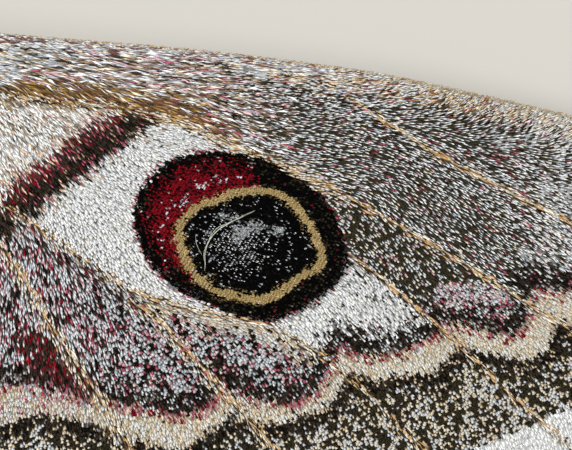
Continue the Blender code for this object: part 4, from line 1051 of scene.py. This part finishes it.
def hairs(root, normal, lie, length, width, lift, colour, draw):
    """Points and colours of tapered hairs that leave the skin and lie over it."""
    across = unit(np.cross(lie, normal))
    length, width, lift = length[:, None], width[:, None], lift[:, None]
    sway = across * draw.normal(0, HAIR_SWAY, len(root))[:, None] * length
    middle = root + lie * length * 0.5 + normal * length * lift * 0.7 + sway
    tip = root + lie * length + normal * length * lift + sway * 2.4
    start = root - normal * HAIR_ROOT
    points = np.stack([
        start - across * width / 2, start + across * width / 2,
        start + normal * width * 0.4 - lie * width * 0.3,
        middle - across * width * 0.42, middle + across * width * 0.42, middle + normal * width * 0.35,
        tip], axis=1)
    return points, np.clip(colour[:, None] * HAIR_SHADE[:, None], 0, 1)


def skin_places(skin, count, draw):
    """Evenly spread places on a finished piece, in mm, with their normals."""
    mesh = skin.data
    mesh.calc_loop_triangles()
    corners = np.empty(len(mesh.loop_triangles) * 3, np.int32)
    mesh.loop_triangles.foreach_get("vertices", corners)
    points = np.empty(len(mesh.vertices) * 3)
    mesh.vertices.foreach_get("co", points)
    points = points.reshape(-1, 3) / MM - (0, SHIFT_Y, 0)
    a, b, c = (points[corners.reshape(-1, 3)[:, k]] for k in range(3))
    normal = np.cross(b - a, c - a)
    reach = np.cumsum(np.linalg.norm(normal, axis=1))
    chosen = np.searchsorted(reach, (np.arange(count) + draw.random(count)) / count * reach[-1])
    chosen = np.minimum(chosen, reach.size - 1)
    u, v = draw.random((2, count))
    fold = u + v > 1
    u, v = np.where(fold, 1 - u, u)[:, None], np.where(fold, 1 - v, v)[:, None]
    place = a[chosen] * (1 - u - v) + b[chosen] * u + c[chosen] * v
    return place, unit(normal[chosen])


def flattened(direction, normal):
    """The direction laid onto the skin."""
    return unit(direction - normal * np.sum(direction * normal, axis=1, keepdims=True))


def pick_tints(text, count, draw):
    """A colour of the mixture for each hair, a little lighter or darker."""
    table, weights = mixture(text)
    chosen = draw.choice(len(table), count, p=weights / weights.sum())
    return table[chosen] * draw.uniform(*HAIR_TINT_RANGE, count)[:, None]


def held_inside(points):
    """Scales and hairs that would stand out of the CAD's box are pressed back to it."""
    low = np.array(CAD_BOX[0]) / MM - (0, SHIFT_Y, 0) + 0.02
    high = np.array(CAD_BOX[1]) / MM - (0, SHIFT_Y, 0) - 0.02
    return np.clip(points, low, high)


def body_fur(place, normal, draw):
    """How the fur lies, how long it is and its colour, at each place on the body."""
    x, y, _ = place.T
    count = len(place)
    thorax = (y > ABDOMEN_FRONT) & (y < NECK_Y)
    head = y >= NECK_Y
    abdomen = ~thorax & ~head
    beneath = np.clip(-normal[:, 2], 0, 1)
    # Fur lies backwards, but forwards on the face, and outwards on the thorax.
    ahead = np.clip((y - FACE_Y) / FACE_TURN, 0, 1)
    direction = np.column_stack([np.sign(x) * 0.25 * thorax, -1 + 1.7 * ahead, -0.25 - 0.5 * head])
    direction += draw.normal(0, FUR_STRAY, (count, 3))
    length, lift, width = (np.where(thorax, a, np.where(head, b, c))
                           for a, b, c in (FUR_LENGTH, FUR_LIFT, FUR_WIDTH))
    length = length * (1 - BELLY_SHORT * beneath) * draw.uniform(*FUR_LENGTH_RANGE, count)
    lift = lift * draw.uniform(*FUR_LIFT_RANGE, count)
    colour = pick_tints("cream 30 sand 26 fawn 20 ash 14 smoke 10", count, draw)
    collar = (y > COLLAR_Y) & (y < NECK_Y)
    way = (ABDOMEN_FRONT - y) / ABDOMEN_LENGTH * ABDOMEN_RINGS % 1.0
    for where, mix in ((collar, "snow 4 cream 4 sand 2"), (head, "sand 4 fawn 4 smoke 2"),
                       (abdomen, "smoke 36 fawn 24 ash 22 umber 18"),
                       (abdomen & (way > RING_DARK), "cream 4 sand 3 ash 3")):
        colour[where] = pick_tints(mix, where.sum(), draw)
    return flattened(direction, normal), length, width, lift, colour


def leg_fur(place, normal, draw):
    """The same on a leg, where hairs point down and outwards and are shorter towards the foot."""
    count = len(place)
    direction = np.column_stack([place[:, :2] * 0.12, np.full(count, -1.0)])
    direction += draw.normal(0, LEG_HAIR_STRAY, (count, 3))
    high = np.clip(place[:, 2] / LEG_HAIR_FULL, LEG_HAIR_LEAST, 1)
    colour = pick_tints("umber 30 tan 30 fawn 26 sand 14", count, draw)
    length = LEG_HAIR_LENGTH * high * draw.uniform(0.6, 1.2, count)
    lift = LEG_HAIR_LIFT * draw.uniform(0.5, 1.4, count)
    return flattened(direction, normal), length, np.full(count, LEG_HAIR_WIDTH), lift, colour


def grow_fur(name, skin, count, style, slot, lowest=0.0):
    """A coat of hairs over a piece above a height, in the style that a function gives."""
    draw = np.random.default_rng(SEED + count)
    place, normal = skin_places(skin, count, draw)
    grown = place[:, 2] > lowest
    place, normal = place[grown], normal[grown]
    lie, length, width, lift, colour = style(place, normal, draw)
    points, colours = hairs(place, normal, lie, length, width, lift, colour, draw)
    around = np.arctan2(place[:, 0], place[:, 2] - 5.0) / (2 * math.pi)
    roots = np.column_stack([around, place[:, 1]])
    coat_pieces(name, held_inside(points), colours, (HAIR_FACES, HAIR_PATCH), roots, FUR, slot)


def select_only(*chosen):
    """Selects these objects and makes the last one active."""
    bpy.ops.object.select_all(action="DESELECT")
    for obj in chosen:
        obj.select_set(True)
    bpy.context.view_layer.objects.active = chosen[-1]


def add_modifier(obj, kind, **settings):
    """Adds a modifier with its settings and applies it."""
    made = obj.modifiers.new(kind.title(), kind)
    for key, value in settings.items():
        setattr(made, key, value)
    select_only(obj)
    bpy.ops.object.modifier_apply(modifier=made.name)


def abdomen_ring(share):
    """The abdomen's middle height and radius at a share of its length: it swells, and rounds off behind."""
    z = ABDOMEN_FRONT_Z + (ABDOMEN_REAR_Z - ABDOMEN_FRONT_Z) * min(share / ABDOMEN_LEVEL, 1.0)
    swell = math.sin(math.pi * min(0.22 + 0.62 * share, 1.0)) ** 0.7
    rounding = max(share - (1.0 - ABDOMEN_ROUND), 0.0) / ABDOMEN_ROUND
    return z, ABDOMEN_RADIUS * swell * max(math.sqrt(max(1.0 - rounding ** 2, 0.0)), 0.12)


def add_body():
    """One skin for head, thorax and abdomen, and the fur on it."""
    forms = list(BODY_FORMS)
    for k in range(ABDOMEN_RINGS):
        share = (k + 0.5) / ABDOMEN_RINGS
        z, radius = abdomen_ring(share)
        radius -= FUR_DEPTH
        forms.append(((0, ABDOMEN_FRONT - ABDOMEN_LENGTH * share, z),
                      (radius, RING_REACH, radius * RING_DEPTH)))
    made = []
    for centre, radii in forms:
        bpy.ops.mesh.primitive_uv_sphere_add(segments=32, ring_count=20, radius=MM, location=placed(centre),
                                             scale=radii)
        made.append(bpy.context.active_object)
    select_only(*made)
    bpy.ops.object.join()
    bpy.ops.object.transform_apply(location=True, rotation=True, scale=True)
    skin = bpy.context.active_object
    skin.name = "body_skin"
    add_modifier(skin, "REMESH", mode="VOXEL", voxel_size=SKIN_VOXEL * MM)
    add_modifier(skin, "SMOOTH", factor=0.5, iterations=5)
    select_only(skin)
    bpy.ops.object.shade_smooth()
    skin.data.materials.clear()
    fit(skin, BODY_SKIN, "fur_pale", "head", "thorax", "abdomen")
    grow_fur("body_fur", skin, FUR_COUNT, body_fur, "fur_grey")


def jointed(name, line, radii):
    """A limb: a vertex drawn out from point to point, given a skin of these radii and smoothed."""
    bpy.ops.object.select_all(action="DESELECT")
    bpy.ops.mesh.primitive_plane_add(size=MM, location=placed(line[0]))
    limb = bpy.context.active_object
    limb.name = name
    bpy.ops.object.mode_set(mode="EDIT")
    bpy.ops.mesh.select_all(action="SELECT")
    bpy.ops.mesh.merge(type="CENTER")
    for a, b in zip(line, line[1:]):
        step = (np.array(b) - np.array(a)) * MM
        bpy.ops.mesh.extrude_region_move(TRANSFORM_OT_translate={"value": tuple(step)})
    bpy.ops.object.mode_set(mode="OBJECT")
    select_only(limb)
    bpy.ops.object.transform_apply(location=True, rotation=True, scale=True)
    bpy.ops.object.modifier_add(type="SKIN")
    for corner, radius in zip(limb.data.skin_vertices[0].data, radii):
        corner.radius = (radius * MM, radius * MM)
    bpy.ops.object.modifier_apply(modifier=limb.modifiers[0].name)
    add_modifier(limb, "SUBSURF", levels=2, render_levels=2)
    select_only(limb)
    bpy.ops.object.shade_smooth()
    return limb


def between(a, b, share):
    """The point at a share of the way from a to b."""
    return a + (b - a) * share


def leg_line(path):
    """The leg's middle line and its radius at each point, with the joints of the foot."""
    hip, knee, ankle, toe = (np.array(p) for p in path)
    heel = between(ankle, toe, 0.35)
    heel[2] = FOOT_Z
    line = [hip, between(hip, knee, 0.5), between(hip, knee, 0.9), between(knee, ankle, 0.1),
            between(knee, ankle, 0.55), between(knee, ankle, 0.95), between(ankle, heel, 0.45), heel]
    for k in range(1, FOOT_JOINTS + 1):
        line += [between(heel, toe, (k - 0.45) / FOOT_STEPS), between(heel, toe, k / FOOT_STEPS)]
    return line, LEG_RADII + FOOT_RADII * FOOT_JOINTS


def add_claws(name, heel, toe):
    """The two hooked claws that end a foot."""
    ahead = unit(np.append((toe - heel)[:2], 0.0))
    across = np.array((ahead[1], -ahead[0], 0.0))
    hooks = []
    for side in (1, -1):
        hook = [toe + ahead * out + across * (side * wide) - (0, 0, down) for out, wide, down in CLAW]
        hooks.append((np.array(hook), CLAW_TAPER))
    add_strands(name, hooks, CLAW_RADIUS, CLAW_HORN, "leg")


def add_legs():
    """Six legs, each with its claws and its hair."""
    for name, path in LEGS.items():
        line, _ = leg_line(path)
        add_claws(f"leg_{name}_claws", line[-3], line[-1])
        for hand, side in HANDS:
            leg = jointed(f"leg_{name}_{hand}_skin", *leg_line([(x * side, y, z) for x, y, z in path]))
            for corner in leg.data.vertices:
                corner.co.z = max(corner.co.z, 0.0)
            fit(leg, LEG_CUTICLE, "leg", f"leg_{name}_{hand}")
            grow_fur(f"leg_{name}_{hand}_hair", leg, LEG_HAIRS, leg_fur, "leg", HAIRLESS_FOOT)


def add_antennae():
    """Two feelers with a fine comb along both their sides."""
    draw = np.random.default_rng(SEED)
    line, radii = even_line(ANTENNA, ANTENNA_POINTS), np.linspace(*ANTENNA_RADII, ANTENNA_POINTS)
    for hand, side in HANDS:
        stem = jointed(f"antenna_{hand}_stem", line * (side, 1, 1), radii)
        fit(stem, ANTENNA_CUTICLE, "antenna", f"antenna_{hand}")
    fine = even_line(ANTENNA, COMB_STEPS + 1)
    ahead = unit(np.gradient(fine, axis=0))
    level = unit(np.cross(ahead, (0, 0, 1.0)))
    root, lie, length = [], [], []
    shortest, growth = TOOTH_LENGTH
    for k in range(COMB_START, COMB_STEPS):
        for turn in (1, -1):
            root.append(fine[k])
            lie.append(unit(level[k] * turn + ahead[k] * TOOTH_AHEAD - (0, 0, TOOTH_DOWN)))
            length.append(growth * math.sin(math.pi * min(0.25 + 0.62 * (k / COMB_STEPS), 1)) + shortest)
    root, lie, length = np.array(root), np.array(lie), np.array(length)
    count = len(root)
    up = np.tile((0.0, 0.0, 1.0), (count, 1))
    colour = pick_tints("buff 4 fawn 4 tan 3", count, draw)
    points, colours = hairs(root, up, lie, length, np.full(count, TOOTH_WIDTH), np.zeros(count), colour, draw)
    for hand, side in HANDS:
        coat_pieces(f"antenna_{hand}_comb", held_inside(points), colours, (HAIR_FACES, HAIR_PATCH),
                    root[:, :2], FUR, "antenna", side)


def add_eyes():
    """Two eyes of many small facets."""
    for hand, side in HANDS:
        bpy.ops.object.select_all(action="DESELECT")
        bpy.ops.mesh.primitive_ico_sphere_add(subdivisions=4, radius=EYE_RADIUS * MM,
                                              location=placed(EYE_CENTRE * (side, 1, 1)))
        eye = bpy.context.active_object
        eye.name = f"eye_{hand}_facets"
        bpy.ops.object.mode_set(mode="EDIT")
        bpy.ops.mesh.select_all(action="SELECT")
        bpy.ops.mesh.inset(thickness=FACET_EDGE * MM, depth=FACET_RISE * MM, use_individual=True)
        bpy.ops.object.mode_set(mode="OBJECT")
        bpy.ops.object.transform_apply(location=True, rotation=True, scale=True)
        fit(eye, COMPOUND_EYE, "eye", f"eye_{hand}")


def node(tree, kind, inputs=(), **settings):
    """Adds a node with its settings, its values and its links."""
    made = tree.nodes.new(kind)
    for key, value in settings.items():
        setattr(made, key, value)
    for key, value in dict(inputs).items():
        if isinstance(value, bpy.types.NodeSocket):
            tree.links.new(value, made.inputs[key])
        else:
            made.inputs[key].default_value = value
    return made


def new_finish(name):
    """An empty material, and its node tree."""
    finish = bpy.data.materials.new(name)
    finish.use_nodes = True
    finish.node_tree.nodes.clear()
    return finish, finish.node_tree


def surface(tree, bump=None, **values):
    """The shader with these values and links, and the output."""
    inputs = {key.replace("_", " "): value for key, value in values.items()}
    if bump is not None:
        inputs["Normal"] = bump.outputs["Normal"]
    shader = node(tree, "ShaderNodeBsdfPrincipled", inputs)
    node(tree, "ShaderNodeOutputMaterial", {"Surface": shader.outputs["BSDF"]})


def tinted(name, roughness, specular, spread, grain, depth=None):
    """A finish whose colour is painted on the piece and varies a little. Grain and depth are in mm."""
    finish, tree = new_finish(name)
    tint = node(tree, "ShaderNodeAttribute", attribute_name="tint", attribute_type="GEOMETRY")
    where = node(tree, "ShaderNodeTexCoord")
    cloud = node(tree, "ShaderNodeTexNoise", {"Vector": where.outputs["Object"], "Scale": 1 / (grain * MM),
                                              "Detail": 2.0})
    level = node(tree, "ShaderNodeMapRange", {"Value": cloud.outputs["Fac"], "To Min": 1 - spread,
                                              "To Max": 1 + spread})
    colour = node(tree, "ShaderNodeVectorMath", {0: tint.outputs["Color"], "Scale": level.outputs["Result"]},
                  operation="SCALE")
    bump = None
    if depth:
        bump = node(tree, "ShaderNodeBump", {"Height": cloud.outputs["Fac"], "Distance": depth * MM,
                                             "Strength": 0.6})
    surface(tree, bump, Base_Color=colour.outputs["Vector"], Roughness=roughness,
            Specular_IOR_Level=specular)
    return finish


def cuticle(name, light, dark, roughness, grain, **more):
    """Bare insect shell: two tones that run into each other within grain mm, and a leathery surface that
    is LEATHER times as fine."""
    finish, tree = new_finish(name)
    where = node(tree, "ShaderNodeTexCoord")
    cloud = node(tree, "ShaderNodeTexNoise", {"Vector": where.outputs["Object"], "Scale": 1 / (grain * MM),
                                              "Detail": 4.0})
    ramp = node(tree, "ShaderNodeValToRGB", {"Fac": cloud.outputs["Fac"]})
    for stop, place, code in zip(ramp.color_ramp.elements, (0.35, 0.65), (dark, light)):
        stop.position = place
        stop.color = (*srgb(code), 1)
    fine = node(tree, "ShaderNodeTexNoise", {"Vector": where.outputs["Object"],
                                             "Scale": LEATHER / (grain * MM)})
    bump = node(tree, "ShaderNodeBump", {"Height": fine.outputs["Fac"], "Distance": LEATHER_DEPTH * MM,
                                         "Strength": 0.5})
    surface(tree, bump, Base_Color=ramp.outputs["Color"], Roughness=roughness, **more)
    return finish


# Wing scales are dry chitin with ridges too fine to draw, a few thousandths of a millimetre apart. They
# scatter the light, so the wing looks matt and powdery. The noise at 0.06 mm only shifts single scales.
WING_SCALES = tinted("wing_scale_chitin", roughness=0.65, specular=0.03, spread=0.07, grain=0.06)
# The wing's skin is a dull dry film, dark between the scales and creased every tenth of a millimetre.
WING_SKIN = tinted("wing_membrane", roughness=0.65, specular=0.04, spread=0.3, grain=0.12, depth=0.03)
# A vein is a hollow rod of hard chitin: golden, with darker lengths, and a soft line of light on it.
VEIN = cuticle("wing_vein", "#bd9a68", "#5a4228", roughness=0.55, grain=0.14)
# The lips of the slit are clear skin without scales, so they catch the light as thin pale threads.
SLIT_LIP = cuticle("slit_lip", "#bfc1b0", "#81867a", roughness=0.5, grain=0.12)
# Fur is made of hair-like scales: soft and dull, with a faint gleam along each hair.
FUR = tinted("moth_fur", roughness=0.65, specular=0.2, spread=0.15, grain=0.3)
# Under the fur the body's shell is dull brown, and gives the depth between the hairs.
BODY_SKIN = cuticle("body_cuticle", "#8a7560", "#4a3a30", roughness=0.6, grain=0.8)
# A claw is the hardest and smoothest chitin, near black, with a small sharp glint.
CLAW_HORN = cuticle("claw_horn", "#2c1710", "#120a07", roughness=0.3, grain=0.3)
# The legs' shell is warm brown and half glossy, and shows the light along each joint.
LEG_CUTICLE = cuticle("leg_cuticle", "#6b4a38", "#3a241c", roughness=0.42, grain=0.5)
# The antennae's shell is tan and dull, like straw.
ANTENNA_CUTICLE = cuticle("antenna_cuticle", "#98794f", "#644a31", roughness=0.55, grain=0.3)
# A compound eye is nearly black under a clear hard coat, and its facets break the glint into points.
COMPOUND_EYE = cuticle("compound_eye", "#2c1d16", "#0d0907", roughness=0.12, grain=0.9, Coat_Weight=0.6)

add_wing("forewing", Wing(FOREWING), paint_forewing, 1.0)
add_wing("hindwing", Wing(HINDWING), paint_hindwing, HIND_SPREAD)
add_body()
add_legs()
add_antennae()
add_eyes()


def add_floor():
    """A sheet of pale matt paper with a tooth of about a millimetre, on which the shadow lies softly."""
    bpy.ops.object.select_all(action="DESELECT")
    bpy.ops.mesh.primitive_plane_add(size=2.0, location=(0, 0, 0))
    floor = bpy.context.active_object
    floor.name = "floor"
    paper, tree = new_finish("floor_paper")
    where = node(tree, "ShaderNodeTexCoord")
    grain = node(tree, "ShaderNodeTexNoise", {"Vector": where.outputs["Object"],
                                              "Scale": 1 / (PAPER_GRAIN * MM), "Detail": 3.0})
    bump = node(tree, "ShaderNodeBump", {"Height": grain.outputs["Fac"], "Distance": PAPER_DEPTH * MM,
                                         "Strength": 0.2})
    surface(tree, bump, Base_Color=(*srgb("#a5a29c"), 1), Roughness=0.9)
    floor.data.materials.append(paper)


def add_camera():
    """The photograph's view: from the same angle, with the same width of wing in its frame."""
    back = np.array((0.0, -math.cos(VIEW_HEIGHT), math.sin(VIEW_HEIGHT)))
    distance = PHOTO_WIDTH / PIXELS_PER_MM * LENS / SENSOR
    lens = bpy.data.cameras.new("camera")
    lens.lens, lens.sensor_width, lens.clip_start, lens.clip_end = LENS, SENSOR, 0.001, 10.0
    camera = linked("camera", lens)
    camera.location = placed(VIEW_TARGET + back * distance)
    camera.rotation_euler = (math.pi / 2 - VIEW_HEIGHT, 0, 0)
    bpy.context.scene.camera = camera


def add_light(name, place, aim, size, watts):
    """A soft box at a place in mm, aimed at a point."""
    lamp = bpy.data.lights.new(name, "AREA")
    lamp.shape, lamp.size, lamp.energy = "DISK", size * MM, watts
    box = linked(name, lamp)
    box.location = placed(place)
    box.rotation_euler = (Vector(placed(aim)) - box.location).to_track_quat("-Z", "Y").to_euler()


def add_world():
    """Even, nearly white light from all round."""
    world = bpy.data.worlds.new("studio")
    world.use_nodes = True
    background = world.node_tree.nodes["Background"]
    background.inputs["Color"].default_value = (*srgb("#f4f4f2"), 1)
    background.inputs["Strength"].default_value = WORLD_STRENGTH
    bpy.context.scene.world = world
    bpy.context.scene.view_settings.view_transform = "Standard"


add_floor()
add_camera()
for light_name, light in LIGHTS.items():
    add_light(light_name, *light)
add_world()
